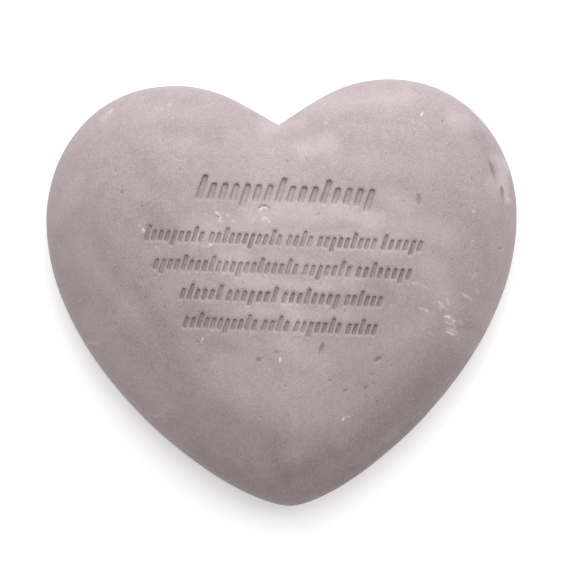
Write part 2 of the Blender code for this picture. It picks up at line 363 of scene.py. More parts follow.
# The two nicks at the right rim, with a soft dish beside them, and three drawn-out pits
GASHES = (
    Gash(((488.0, 162.6, 1.0), (490.2, 168.0, 2.5), (491.8, 173.2, 2.9), (493.2, 179.0, 1.0)), 0.52 * MM),
    Gash(((500.4, 186.8, 1.2), (500.8, 190.6, 2.9), (501.1, 194.2, 2.8), (501.6, 198.4, 1.0)), 0.62 * MM),
    Gash(((322.8, 342.4, 1.1), (321.6, 346.2, 3.1), (320.2, 349.4, 2.7), (319.0, 352.4, 1.1)), 0.38 * MM),
    Gash(((416.6, 196.8, 2.8), (417.5, 200.4, 3.6), (417.3, 203.8, 2.8)), 0.22 * MM),
    Gash(((373.6, 360.4, 1.4), (377.0, 358.0, 3.0), (379.8, 357.2, 1.6)), 0.34 * MM),
)
DISHES = (((499.0, 160.0), (505.5, 196.0)),)


# The stone's form


@dataclass(frozen=True)
class HeartOutline:
    """The stone's outline seen from above: three curves for each half, from notch to tip.

    Places and handles are shares of the length, or of half the width where they run across.
    """

    width: float
    length: float
    lobe_top_across: float = 0.457
    notch_drop: float = 0.0993
    notch_rise_deg: float = 31.1
    notch_handle: float = 0.189
    lobe_inner_handle: float = 0.189
    lobe_outer_handle: float = 0.345
    widest_drop: float = 0.320
    widest_upper_handle: float = 0.158
    widest_lower_handle: float = 0.356
    tip_handle: float = 0.244

    def half(self, steps: Sequence[int]) -> np.ndarray:
        """The right half, from the notch to the tip.

        Args:
            steps: how many pieces each of the three curves is cut into.

        Returns:
            Rows of x and y.
        """
        half_width = self.width / 2
        top = self.length / 2
        rise = math.radians(self.notch_rise_deg)
        notch = Vector((0.0, top - self.notch_drop * self.length))
        notch_way = Vector((math.cos(rise), math.sin(rise)))
        notch_out = notch + self.notch_handle * half_width * notch_way
        lobe_top = Vector((self.lobe_top_across * half_width, top))
        lobe_in = lobe_top - Vector((self.lobe_inner_handle * half_width, 0.0))
        lobe_out = lobe_top + Vector((self.lobe_outer_handle * half_width, 0.0))
        widest = Vector((half_width, top - self.widest_drop * self.length))
        widest_up = widest + Vector((0.0, self.widest_upper_handle * self.length))
        widest_down = widest - Vector((0.0, self.widest_lower_handle * self.length))
        tip = Vector((0.0, -top))
        tip_out = tip + Vector((self.tip_handle * half_width, 0.0))
        curves = (
            (notch, notch_out, lobe_in, lobe_top),
            (lobe_top, lobe_out, widest_up, widest),
            (widest, widest_down, tip_out, tip),
        )
        points = []
        for curve, count in zip(curves, steps):
            points += interpolate_bezier(*curve, count + 1)[:-1]
        points.append(tip)
        return np.array([(point.x, point.y) for point in points])

    def closed(self, steps: Sequence[int]) -> np.ndarray:
        """The whole outline, clockwise from the notch.

        Args:
            steps: how many pieces each of a half's three curves is cut into.

        Returns:
            Rows of x and y.
        """
        right = self.half(steps)
        return np.vstack((right, right[-2:0:-1] * (-1.0, 1.0)))


@dataclass
class Dome:
    """The rounded form, worked out from how far a point lies inside the outline."""

    outline: HeartOutline
    thickness: float
    waist_height: float = 14.0 * MM
    foot_inset: float = 8.0 * MM
    shoulder_power: float = 2.5
    rim_power: float = 1.7
    ridge_power: float = 6.0
    smooth_steps: int = 200
    crown_search: float = 0.25
    crown_samples: int = 201
    batch: int = 1500

    def __post_init__(self) -> None:
        """Cuts the outline into short pieces and finds the crown."""
        rim = self.outline.closed((self.smooth_steps,) * 3)
        ahead = np.roll(rim, -1, axis=0)
        self.middles = (rim + ahead) / 2
        self.lengths = np.linalg.norm(ahead - rim, axis=1)
        power = self.ridge_power
        self.straight_edge = math.gamma((power + 1) / 2) / (
            math.sqrt(math.pi) * math.gamma(power / 2)
        )
        span = self.crown_search * self.outline.length
        along = np.linspace(-span, span, self.crown_samples)
        axis = np.column_stack((np.zeros_like(along), along))
        depths = self.inside(axis)
        self.crown = axis[depths.argmax()]
        self.deepest = float(depths.max())

    def inside(self, points: np.ndarray) -> np.ndarray:
        """A smoothed distance from each point to the outline, exact along a straight edge.

        Args:
            points: rows of x and y inside the outline.

        Returns:
            One distance for each point.
        """
        found = []
        for first in range(0, len(points), self.batch):
            some = points[first : first + self.batch]
            gaps = some[:, None, :] - self.middles[None, :, :]
            square = (gaps**2).sum(axis=2)
            found.append((self.lengths * square ** (-(self.ridge_power + 1) / 2)).sum(axis=1))
        total = np.concatenate(found)
        return (self.straight_edge * total) ** (-1 / self.ridge_power)

    def upper_height(self, reach: np.ndarray | float) -> np.ndarray | float:
        """Height of the upper face at a share of the way from the outline to the crown."""
        rise = (1 - (1 - reach) ** self.shoulder_power) ** (1 / self.rim_power)
        return self.waist_height + (self.thickness - self.waist_height) * rise

    def height(self, points: np.ndarray) -> np.ndarray:
        """Height of the upper face over each point inside the outline."""
        return self.upper_height(np.clip(self.inside(points) / self.deepest, 0.0, 1.0))


@dataclass
class LevelLines:
    """The dome's level lines, found on straight lines from the outline to the crown."""

    dome: Dome
    steps: tuple[int, int, int] = (36, 60, 112)
    samples: int = 120
    first_sample: float = 0.02
    crowding: float = 1.6

    def __post_init__(self) -> None:
        """Samples the smoothed distance along each line."""
        self.rim = self.dome.outline.closed(self.steps)
        self.to_crown = self.dome.crown - self.rim
        spread = np.linspace(0.0, 1.0, self.samples) ** self.crowding
        self.shares = np.concatenate(([0.0], self.first_sample + (1 - self.first_sample) * spread))
        places = self.rim[:, None, :] + self.shares[None, 1:, None] * self.to_crown[:, None, :]
        depths = self.dome.inside(places.reshape(-1, 2)).reshape(len(self.rim), -1)
        rimmed = np.column_stack((np.zeros(len(self.rim)), depths))
        self.depths = np.maximum.accumulate(rimmed, axis=1)

    def at(self, depth: float) -> np.ndarray:
        """The level line at one smoothed distance inside the outline, clockwise.

        Args:
            depth: the smoothed distance.

        Returns:
            Rows of x and y, one for each line.
        """
        shares = np.array([np.interp(depth, depths, self.shares) for depths in self.depths])
        return self.rim + shares[:, None] * self.to_crown


# The inscription


class StrokeKind(Enum):
    """The kinds of cut stroke. Every one is a single bar, and all lean the same way."""

    PLAIN = "bar of the row's height"
    TALL = "bar that rises above the row"
    DEEP = "bar that reaches under the row"


@dataclass(frozen=True)
class Stroke:
    """One straight stroke with round ends, in the stone's plan."""

    start: np.ndarray
    end: np.ndarray
    width: float

    def loop(self, offset: float, spacing: float) -> np.ndarray:
        """A closed line round the stroke.

        Args:
            offset: how far outside the stroke's edge the line runs; negative is inside.
            spacing: the distance between the line's points.

        Returns:
            Rows of x and y, counterclockwise.
        """
        radius = self.width / 2 + offset
        run = self.end - self.start
        length = float(np.linalg.norm(run))
        heading = math.atan2(run[1], run[0])
        straight = max(1, round(length / spacing))
        turns = max(3, round(math.pi * radius / spacing))
        points = []
        for centre, first in ((self.end, heading - math.pi / 2), (self.start, heading + math.pi / 2)):
            angles = first + math.pi * np.arange(turns + 1) / turns
            arc = centre + radius * ways(angles)
            back = run if centre is self.start else -run
            side = arc[-1] + back * (np.arange(1, straight) / straight)[:, None]
            points += [arc, side]
        return np.vstack(points)

    def line(self, spacing: float) -> np.ndarray:
        """Points along the stroke's middle, as rows of x and y."""
        count = max(1, round(float(np.linalg.norm(self.end - self.start)) / spacing))
        return self.start + (self.end - self.start) * (np.arange(count + 1) / count)[:, None]


@dataclass(frozen=True)
class Row:
    """One row of the inscription: its words' widths and its size, as shares of the length."""

    words: tuple[float, ...]
    baseline: float
    scale: float = 1.0
    depth: float = 0.8 * MM


@dataclass(frozen=True)
class Inscription:
    """Five slanting rows of cut strokes. Sizes without a unit are shares of the stone's length."""

    length: float
    tilt_deg: float = -4.17
    centre: float = -0.006
    word_gap: float = 0.0158
    stroke_width: float = 0.0081
    stroke_pitch: float = 0.0165
    body_height: float = 0.0257
    rise_height: float = 0.0113
    drop_height: float = 0.0096
    lean_deg: float = 16.0
    cadence_step: int = 3
    title: Row = Row((0.407,), 0.2126, 1.55, 1.1 * MM)
    rows: tuple[Row, ...] = (
        Row((0.134, 0.165, 0.056, 0.133, 0.092), 0.1112),
        Row((0.332, 0.108, 0.125), 0.0448),
        Row((0.092, 0.113, 0.130, 0.084), -0.0216),
        Row((0.167, 0.059, 0.105, 0.068), -0.0880),
    )
    cadence: tuple[StrokeKind, ...] = (
        StrokeKind.TALL, StrokeKind.PLAIN, StrokeKind.PLAIN, StrokeKind.PLAIN,
        StrokeKind.DEEP, StrokeKind.PLAIN, StrokeKind.PLAIN, StrokeKind.TALL,
        StrokeKind.PLAIN, StrokeKind.PLAIN, StrokeKind.PLAIN,
    )

    def in_word(self, width: float, scale: float, first: int) -> list[tuple[StrokeKind, float]]:
        """The strokes of one word, spread over its width.

        Args:
            width: the word's width.
            scale: the row's size against a plain row's.
            first: where in the cadence the word starts.

        Returns:
            Each stroke's kind and its place along the word.
        """
        stroke = self.stroke_width * scale
        gaps = max(1, round((width - stroke) / (self.stroke_pitch * scale)))
        places = np.linspace(stroke / 2, width - stroke / 2, gaps + 1)
        return [
            (self.cadence[(first + number) % len(self.cadence)], place)
            for number, place in enumerate(places)
        ]

    def ends(self, kind: StrokeKind, scale: float) -> tuple[Pixel, Pixel]:
        """Both ends of one stroke.

        Args:
            kind: the kind of stroke.
            scale: the row's size against a plain row's.

        Returns:
            Each end's place along the row from the stroke's own, and above the baseline.
        """
        low = self.stroke_width * scale / 2
        high = self.body_height * scale - low
        middle = (low + high) / 2
        if kind is StrokeKind.TALL:
            high += self.rise_height * scale
        if kind is StrokeKind.DEEP:
            low -= self.drop_height * scale
        slope = math.tan(math.radians(self.lean_deg))
        return (slope * (low - middle), low), (slope * (high - middle), high)

    def strokes(self, row: Row, first: int) -> list[Stroke]:
        """All strokes of one row.

        Args:
            row: the row.
            first: where in the cadence the row starts.

        Returns:
            The strokes, in the stone's plan.
        """
        tilt = math.radians(self.tilt_deg)
        along = np.array((math.cos(tilt), math.sin(tilt)))
        up = np.array((-math.sin(tilt), math.cos(tilt)))
        left = self.centre - (sum(row.words) + self.word_gap * (len(row.words) - 1)) / 2
        strokes = []
        count = first
        for width in row.words:
            for kind, place in self.in_word(width, row.scale, count):
                count += 1
                start, end = (
                    (along * (left + place + across) + up * (row.baseline + rise)) * self.length
                    for across, rise in self.ends(kind, row.scale)
                )
                strokes.append(Stroke(start, end, self.stroke_width * row.scale * self.length))
            left += width + self.word_gap
        return strokes

    def title_strokes(self) -> list[Stroke]:
        """The strokes of the large top row."""
        return self.strokes(self.title, 0)

    def row_strokes(self) -> list[Stroke]:
        """The strokes of the four lower rows."""
        return [
            stroke
            for number, row in enumerate(self.rows)
            for stroke in self.strokes(row, self.cadence_step * number)
        ]


# The mesh of the uncut stone


@dataclass
class PlanSheet:
    """Points and edges laid in the stone's plan, joined into triangles that keep the edges."""

    points: list[np.ndarray] = field(default_factory=list)
    edges: list[tuple[int, int]] = field(default_factory=list)
    count: int = 0
    tolerance: float = 1e-4

    def add(self, points: np.ndarray) -> int:
        """Adds loose points.

        Args:
            points: rows of x and y.

        Returns:
            The number of the first one.
        """
        first = self.count
        self.points.append(points)
        self.count += len(points)
        return first

    def add_loop(self, points: np.ndarray) -> None:
        """Adds a closed line, whose edges the triangles keep."""
        first = self.add(points)
        count = len(points)
        self.edges += [(first + index, first + (index + 1) % count) for index in range(count)]

    def triangles(self) -> tuple[np.ndarray, list[list[int]], list[list[int]]]:
        """Joins everything that lies inside the outermost loop.

        Returns:
            The points, the triangles, and for each point the numbers it was added under.
        """
        flat = np.vstack(self.points) / MM
        made, _, faces, sources, _, _ = delaunay_2d_cdt(
            [Vector(point) for point in flat], self.edges, [], 1, self.tolerance
        )
        points = np.array([(point.x, point.y) for point in made]) * MM
        return points, [list(face) for face in faces], [list(source) for source in sources]


@dataclass
class Shell:
    """A closed mesh in the making: rings of equal count, and sheets that close them."""

    ring_count: int
    vertices: list[np.ndarray] = field(default_factory=list)
    faces: list[tuple[int, ...]] = field(default_factory=list)

    def ring(self, points: np.ndarray, height: float) -> None:
        """Adds a ring at one height. Every ring comes before the first sheet."""
        self.vertices.append(np.column_stack((points, np.full(len(points), height))))

    def join(self, outer: int, inward: int) -> None:
        """Adds the faces between two rings, by their numbers."""
        count = self.ring_count
        for index in range(count):
            after = (index + 1) % count
            self.faces.append((
                outer * count + index, outer * count + after,
                inward * count + after, inward * count + index,
            ))

    def close(
        self, ring: int, sheet: PlanSheet, height: Callable[[np.ndarray], np.ndarray]
    ) -> None:
        """Closes a ring with a sheet's triangles.

        Args:
            ring: the ring's number.
            sheet: the sheet, whose first points are the ring's.
            height: gives the height over each of some points.
        """
        points, triangles, sources = sheet.triangles()
        next_number = sum(len(block) for block in self.vertices)
        number_of = np.empty(len(points), int)
        fresh = []
        for index, source in enumerate(sources):
            ring_sources = [number for number in source if number < self.ring_count]
            if ring_sources:
                number_of[index] = ring * self.ring_count + ring_sources[0]
            else:
                number_of[index] = next_number + len(fresh)
                fresh.append(index)
        inner = points[fresh]
        self.vertices.append(np.column_stack((inner, height(inner))))
        self.faces += [tuple(number_of[corner] for corner in triangle) for triangle in triangles]

    def mesh(self, name: str) -> bpy.types.Mesh:
        """The whole as a smooth mesh of triangles that face outwards."""
        data = bpy.data.meshes.new(name)
        data.from_pydata(np.vstack(self.vertices), [], self.faces)
        shape = bmesh.new()
        shape.from_mesh(data)
        bmesh.ops.triangulate(shape, faces=shape.faces)
        bmesh.ops.recalc_face_normals(shape, faces=shape.faces)
        shape.to_mesh(data)
        shape.free()
        data.shade_smooth()
        return data


@dataclass
class StoneBlank:
    """The stone before it is cut: a fine closed mesh, dense where it will be cut."""

    dome: Dome
    strokes: list[Stroke]
    gashes: list[Stroke]
    dishes: list[Stroke]
    pits: list[tuple[np.ndarray, float]]
    lip: float = 0.10 * MM
    wall: float = 0.16 * MM
    loop_spacing: float = 0.28 * MM
    ring_spacing: float = 1.15 * MM
    grid_spacing: float = 1.15 * MM
    foot_spacing: float = 4.0 * MM
    collar_reach: float = 0.05
    ringed_reach: float = 0.30
    section_samples: int = 400
    fine_zones: tuple[tuple[float, float], ...] = ((0.33 * MM, 0.5 * MM), (0.65 * MM, 2.6 * MM))
    clearance: float = 0.30 * MM
    pit_circles: tuple[tuple[float, int], ...] = ((1.0, 10), (0.55, 7))

    def section_reaches(self) -> np.ndarray:
        """Reaches from the rim inwards that lie evenly spaced along the rounded section."""
        reach = np.linspace(0.0, 1.0, self.section_samples) ** 2 * self.ringed_reach
        height = self.dome.upper_height(reach)
        steps = np.hypot(np.diff(reach * self.dome.deepest), np.diff(height))
        run = np.concatenate(([0.0], np.cumsum(steps)))
        count = round(run[-1] / self.ring_spacing)
        return np.interp(np.linspace(0.0, run[-1], count + 1), run, reach)

    def hexagons(self, low: np.ndarray, high: np.ndarray, spacing: float) -> np.ndarray:
        """Points in a hexagonal pattern over a box, as rows of x and y."""
        rows = np.arange(low[1], high[1], spacing * math.sqrt(3) / 2)
        columns = np.arange(low[0], high[0], spacing)
        across, along = np.meshgrid(columns, rows)
        across = across + (np.arange(len(rows)) % 2)[:, None] * spacing / 2
        return np.column_stack((across.ravel(), along.ravel()))

    def distance(self, points: np.ndarray, lines: Iterable[Stroke]) -> np.ndarray:
        """How far each point lies outside the nearest of some strokes' edges."""
        nearest = np.full(len(points), np.inf)
        for line in lines:
            run = line.end - line.start
            share = np.clip((points - line.start) @ run / max(run @ run, NO_RUN), 0.0, 1.0)
            gap = np.linalg.norm(points - line.start - share[:, None] * run, axis=1)
            nearest = np.minimum(nearest, gap - line.width / 2)
        return nearest

    def open_ground(self, points: np.ndarray) -> np.ndarray:
        """Those of the points that lie clear of every stroke and pit."""
        points = points[self.distance(points, self.strokes) > self.lip + self.clearance]
        holes = [Stroke(place, place, 2 * radius) for place, radius in self.pits]
        return points[self.distance(points, holes) > self.clearance]

    def upper_sheet(self, lines: LevelLines, boundary: np.ndarray, inner: np.ndarray) -> PlanSheet:
        """The points and edges of the upper face, inside the collar.

        Args:
            lines: the dome's level lines.
            boundary: the collar's inner ring.
            inner: the reaches of the rings inside it.

        Returns:
            The sheet, with the boundary as its first loop.
        """
        sheet = PlanSheet()
        sheet.add_loop(boundary)
        for stroke in self.strokes:
            for offset in (self.lip, (self.lip - self.wall) / 2, -self.wall):
                sheet.add_loop(stroke.loop(offset, self.loop_spacing))
            sheet.add(stroke.line(self.loop_spacing))
        for place, radius in self.pits:
            sheet.add(place[None, :])
            for share, count in self.pit_circles:
                angles = np.arange(count) * math.tau / count
                sheet.add(place + radius * share * ways(angles))
        loose = [lines.at(reach * self.dome.deepest) for reach in inner]
        low, high = self.dome.middles.min(axis=0), self.dome.middles.max(axis=0)
        field_points = self.hexagons(low, high, self.grid_spacing)
        field_points = field_points[self.within(field_points, loose[-1], self.grid_spacing / 2)]
        coarse = np.vstack([*loose, field_points])
        damage = [*self.gashes, *self.dishes]
        zones = list(zip((self.gashes, self.dishes), self.fine_zones))
        away = np.ones(len(coarse), bool)
        for group, (_, margin) in zones:
            away &= self.distance(coarse, group) > margin
        taken = [coarse[away]]
        for number, (group, (spacing, margin)) in enumerate(zones):
            ends = np.array([end for line in group for end in (line.start, line.end)])
            span = margin + max(line.width for line in damage)
            fine = self.hexagons(ends.min(axis=0) - span, ends.max(axis=0) + span, spacing)
            fine = fine[self.distance(fine, group) < margin - spacing / 2]
            for tighter, (_, tighter_margin) in zones[:number]:
                fine = fine[self.distance(fine, tighter) > tighter_margin]
            taken.append(fine[self.within(fine, boundary, spacing / 2)])
        sheet.add(self.open_ground(np.vstack(taken)))
        return sheet

    @staticmethod
    def within(points: np.ndarray, loop: np.ndarray, margin: float) -> np.ndarray:
        """Which points lie inside a closed line and at least a margin away from it."""
        ahead = np.roll(loop, -1, axis=0)
        crossings = np.zeros(len(points), int)
        nearest = np.full(len(points), np.inf)
        for start, end in zip(loop, ahead):
            run = end - start
            straddles = (start[1] > points[:, 1]) != (end[1] > points[:, 1])
            if run[1] != 0:
                reach = start[0] + (points[:, 1] - start[1]) / run[1] * run[0]
                crossings += straddles & (points[:, 0] < reach)
            nearest = np.minimum(nearest, np.linalg.norm(points - start, axis=1))
        return (crossings % 2 == 1) & (nearest > margin)

    def foot_sheet(self, foot: np.ndarray) -> PlanSheet:
        """The flat underside inside its ring, which is the sheet's first loop."""
        sheet = PlanSheet()
        sheet.add_loop(foot)
        spread = self.hexagons(foot.min(axis=0), foot.max(axis=0), self.foot_spacing)
        sheet.add(spread[self.within(spread, foot, self.foot_spacing / 2)])
        return sheet

    def build(self, name: str) -> bpy.types.Object:
        """Makes the mesh: a ringed rim, a triangulated upper face and a flat foot.

        Args:
            name: the object's name.

        Returns:
            The object, linked to the scene.
        """
        lines = LevelLines(self.dome)
        reaches = self.section_reaches()
        collar = reaches[reaches <= self.collar_reach]
        inner = reaches[reaches > self.collar_reach]
        shell = Shell(len(lines.rim))
        for reach in collar:
            shell.ring(lines.at(reach * self.dome.deepest), float(self.dome.upper_height(reach)))
        quarter = math.pi / 2
        mean_radius = (self.dome.waist_height + self.dome.foot_inset) / 2
        turns = round(quarter * mean_radius / self.ring_spacing)
        for turn in quarter * np.arange(1, turns + 1) / turns:
            depth = self.dome.foot_inset * (1 - math.cos(turn))
            shell.ring(lines.at(depth), self.dome.waist_height * (1 - math.sin(turn)))
        upward = range(len(collar))
        downward = (0, *range(len(collar), len(collar) + turns))
        for chain in (upward, downward):
            for outer, inward in zip(chain, chain[1:]):
                shell.join(outer, inward)

        boundary = shell.vertices[upward[-1]][:, :2]
        foot = shell.vertices[downward[-1]][:, :2]
        shell.close(upward[-1], self.upper_sheet(lines, boundary, inner), self.dome.height)
        shell.close(downward[-1], self.foot_sheet(foot), lambda points: np.zeros(len(points)))
        return show(name, shell.mesh(name))


# Node trees


class Signal:
    """A number that varies over the surface: arithmetic on it adds Math nodes."""

    def __init__(self, kit: "NodeKit", socket: bpy.types.NodeSocket) -> None:
        self.kit = kit
        self.socket = socket

    def math(
        self, operation: str, *values: "Signal | float", first: "Signal | float | None" = None
    ) -> "Signal":
        """One Math node.

        Args:
            operation: Blender's name of the operation.
            values: the operands after the first.
            first: the first operand, where it isn't this signal.

        Returns:
            The result.
        """
        operands = [self if first is None else first, *values]
        made = self.kit.node(
            "ShaderNodeMath", {"operation": operation}, dict(enumerate(operands))
        )
        return Signal(self.kit, made.outputs[0])

    def __add__(self, other: "Signal | float") -> "Signal":
        """The sum."""
        return self.math("ADD", other)

    __radd__ = __add__

    def __mul__(self, other: "Signal | float") -> "Signal":
        """The product."""
        return self.math("MULTIPLY", other)

    __rmul__ = __mul__

    def __sub__(self, other: "Signal | float") -> "Signal":
        """The difference."""
        return self.math("SUBTRACT", other)

    def __rsub__(self, other: float) -> "Signal":
        """The difference, with this signal taken away."""
        return self.math("SUBTRACT", self, first=other)

    def highest(self, other: "Signal | float") -> "Signal":
        """The larger of the two."""
        return self.math("MAXIMUM", other)

    def lowest(self, other: "Signal | float") -> "Signal":
        """The smaller of the two."""
        return self.math("MINIMUM", other)

    def between(
        self,
        low: "Signal | float",
        high: "Signal | float",
        to_low: float = 0.0,
        to_high: float = 1.0,
    ) -> "Signal":
        """A smooth step from one value to another.

        Args:
            low: where it starts.
            high: where it ends, which may lie below low.
            to_low: the result at low.
            to_high: the result at high.

        Returns:
            The stepped signal.
        """
        made = self.kit.node(
            "ShaderNodeMapRange",
            {"interpolation_type": "SMOOTHSTEP"},
            {"Value": self, "From Min": low, "From Max": high, "To Min": to_low, "To Max": to_high},
        )
        return Signal(self.kit, made.outputs["Result"])


class NodeKit:
    """Makes the nodes of one tree, for shaders and for geometry."""

    def __init__(self, tree: bpy.types.NodeTree) -> None:
        """Works in the given tree."""
        self.tree = tree

    def node(
        self,
        kind: str,
        settings: dict[str, object] | None = None,
        sockets: dict[str | int, object] | None = None,
    ) -> bpy.types.Node:
        """Makes one node.

        Args:
            kind: the node's type.
            settings: its properties, set first.
            sockets: values or links for its inputs, by name or number.

        Returns:
            The node.
        """
        made = self.tree.nodes.new(kind)
        for name, value in (settings or {}).items():
            setattr(made, name, value)
        for key, value in (sockets or {}).items():
            if isinstance(value, Signal):
                value = value.socket
            if isinstance(value, bpy.types.NodeSocket):
                self.tree.links.new(value, made.inputs[key])
            else:
                made.inputs[key].default_value = value
        return made

    def signal(self, socket: bpy.types.NodeSocket) -> Signal:
        """Wraps a number's socket."""
        return Signal(self, socket)

    def part(self, vector: bpy.types.NodeSocket, axis: str) -> Signal:
        """One part of a vector: X, Y or Z."""
        return self.signal(self.node("ShaderNodeSeparateXYZ", sockets={0: vector}).outputs[axis])

    def vector(
        self, operation: str, *values: object, scale: Signal | float | None = None
    ) -> bpy.types.NodeSocket:
        """One Vector Math node.

        Args:
            operation: Blender's name of the operation.
            values: its vectors.
            scale: the factor of a SCALE.

        Returns:
            The output that the operation fills.
        """
        sockets: dict[str | int, object] = dict(enumerate(values))
        if scale is not None:
            sockets["Scale"] = scale
        made = self.node("ShaderNodeVectorMath", {"operation": operation}, sockets)
        return made.outputs["Value" if operation in ("LENGTH", "DOT_PRODUCT", "DISTANCE") else "Vector"]

    def noise(
        self,
        place: bpy.types.NodeSocket,
        size: float | Signal,
        detail: float = 2.0,
        seed: float | bpy.types.NodeSocket = 0.0,
        roughness: float = 0.5,
        distortion: float = 0.0,
    ) -> Signal:
        """Noise about zero, from about -0.5 to 0.5.

        Args:
            place: the position it is read at.
            size: the size of its largest features, in metres.
            detail: how many finer layers it has.
            seed: picks the pattern.
            roughness: how strong the finer layers are.
            distortion: how much the pattern is warped.

        Returns:
            The noise.
        """
        scale = size.math("DIVIDE", size, first=1.0) if isinstance(size, Signal) else 1.0 / size
        sockets = {
            "Vector": place, "Scale": scale, "Detail": detail,
            "Roughness": roughness, "Distortion": distortion,
        }
        if isinstance(seed, float):
            sockets["Vector"] = self.vector("ADD", place, (seed, 2 * seed, 3 * seed))
        else:
            sockets["W"] = seed
        dimensions = {"noise_dimensions": "3D" if isinstance(seed, float) else "4D"}
        made = self.node("ShaderNodeTexNoise", dimensions, sockets)
        return self.signal(made.outputs[0]) - 0.5

    def line_gap(self, flat: bpy.types.NodeSocket, first: np.ndarray, last: np.ndarray) -> Signal:
        """Each point's distance in the plan from a straight line.

        Args:
            flat: the point's place in the plan.
            first: the line's one end.
            last: its other end.

        Returns:
            The distance in metres.
        """
        run = last - first
        from_first = self.vector("SUBTRACT", flat, (*first, 0.0))
        share = self.vector("DOT_PRODUCT", from_first, (*(run / (run @ run)), 0.0))
        limited = self.node("ShaderNodeClamp", sockets={"Value": share}).outputs[0]
        along = self.vector("SCALE", (*run, 0.0), scale=self.signal(limited))
        return self.signal(self.vector("LENGTH", self.vector("SUBTRACT", from_first, along)))


class GeometryGroup(NodeKit):
    """A Geometry Nodes group with named inputs."""

    def __init__(self, name: str, inputs: dict[str, tuple[str, object]]) -> None:
        """Makes the group.

        Args:
            name: the group's name.
            inputs: for each named input, its socket type and its default or None.
        """
        super().__init__(bpy.data.node_groups.new(name, "GeometryNodeTree"))
        face = self.tree.interface
        face.new_socket("Geometry", in_out="OUTPUT", socket_type="NodeSocketGeometry")
        face.new_socket("Geometry", in_out="INPUT", socket_type="NodeSocketGeometry")
        for label, (kind, default) in inputs.items():
            socket = face.new_socket(label, in_out="INPUT", socket_type=kind)
            if default is not None:
                socket.default_value = default
        self.inputs = self.node("NodeGroupInput").outputs

    def number(self, label: str) -> Signal:
        """A named number of the group."""
        return self.signal(self.inputs[label])

    def position(self) -> bpy.types.NodeSocket:
        """Each point's place."""
        return self.node("GeometryNodeInputPosition").outputs[0]

    def height(self) -> Signal:
        """Each point's height."""
        return self.part(self.position(), "Z")

    def flat_place(self) -> bpy.types.NodeSocket:
        """Each point's place in the plan, at height zero."""
        return self.vector("MULTIPLY", self.position(), PLAN)

    def shape(self, label: str) -> bpy.types.NodeSocket:
        """The geometry of the guide object that an input names."""
        read = self.node("GeometryNodeObjectInfo", sockets={"Object": self.inputs[label]})
        return read.outputs["Geometry"]

    def nearest(
        self, flat: bpy.types.NodeSocket, target: str, label: str = "Guide"
    ) -> tuple[Signal, bpy.types.NodeSocket]:
        """The nearest point of a guide object, in the plan.

        Args:
            flat: the place that it is nearest to.
            target: the object's elements, EDGES or FACES.
            label: the input that names the object.

        Returns:
            Its distance in metres, and its place.
        """
        near = self.node(
            "GeometryNodeProximity",
            {"target_element": target},
            {0: self.shape(label), "Sample Position": flat},
        )
        return self.signal(near.outputs["Distance"]), near.outputs["Position"]

    def kept(self, name: object) -> Signal:
        """The number that each point keeps under a name."""
        read = self.node("GeometryNodeInputNamedAttribute", {"data_type": "FLOAT"}, {"Name": name})
        return self.signal(read.outputs["Attribute"])

    def keep(
        self, geometry: bpy.types.NodeSocket, name: object, value: Signal
    ) -> bpy.types.NodeSocket:
        """Keeps a number on each point and returns the geometry."""
        stored = self.node(
            "GeometryNodeStoreNamedAttribute",
            {"data_type": "FLOAT", "domain": "POINT"},
            {"Geometry": geometry, "Name": name, "Value": value},
        )
        return stored.outputs[0]

    def move(
        self, geometry: bpy.types.NodeSocket, offset: bpy.types.NodeSocket
    ) -> bpy.types.NodeSocket:
        """Moves each point by an offset and returns the geometry."""
        moved = self.node(
            "GeometryNodeSetPosition", sockets={"Geometry": geometry, "Offset": offset}
        )
        return moved.outputs[0]

    def sink(
        self, geometry: bpy.types.NodeSocket, share: Signal, depth: Signal
    ) -> bpy.types.NodeSocket:
        """Lowers the upper face, and keeps the largest share so far on each point.

        Args:
            geometry: the stone.
            share: how much of the depth each point sinks.
            depth: the depth.

        Returns:
            The lowered geometry.
        """
        share = share * self.height().math("GREATER_THAN", self.number("Lowest"))
        name = self.inputs["Attribute"]
        stored = self.keep(geometry, name, share.highest(self.kept(name)))
        offset = self.node("ShaderNodeCombineXYZ", sockets={"Z": 0 - share * depth})
        return self.move(stored, offset.outputs[0])

    def call(
        self,
        group: "GeometryGroup",
        geometry: bpy.types.NodeSocket,
        inputs: dict[str, str],
        names: dict[str, str] | None = None,
    ) -> bpy.types.NodeSocket:
        """Uses another group in this one.

        Args:
            group: the other group.
            geometry: what it works on.
            inputs: for each of its inputs that is filled, the input of this group that fills it.
            names: the names of the attributes that it keeps.

        Returns:
            The geometry that it gives out.
        """
        filled = {label: self.inputs[own] for label, own in inputs.items()}
        sockets = {"Geometry": geometry, **filled, **(names or {})}
        made = self.node("GeometryNodeGroup", {"node_tree": group.tree}, sockets)
        return made.outputs["Geometry"]

    def finish(self, geometry: bpy.types.NodeSocket) -> "GeometryGroup":
        """Gives the geometry out and returns the group."""
        self.node("NodeGroupOutput", {"is_active_output": True}, {"Geometry": geometry})
        return self


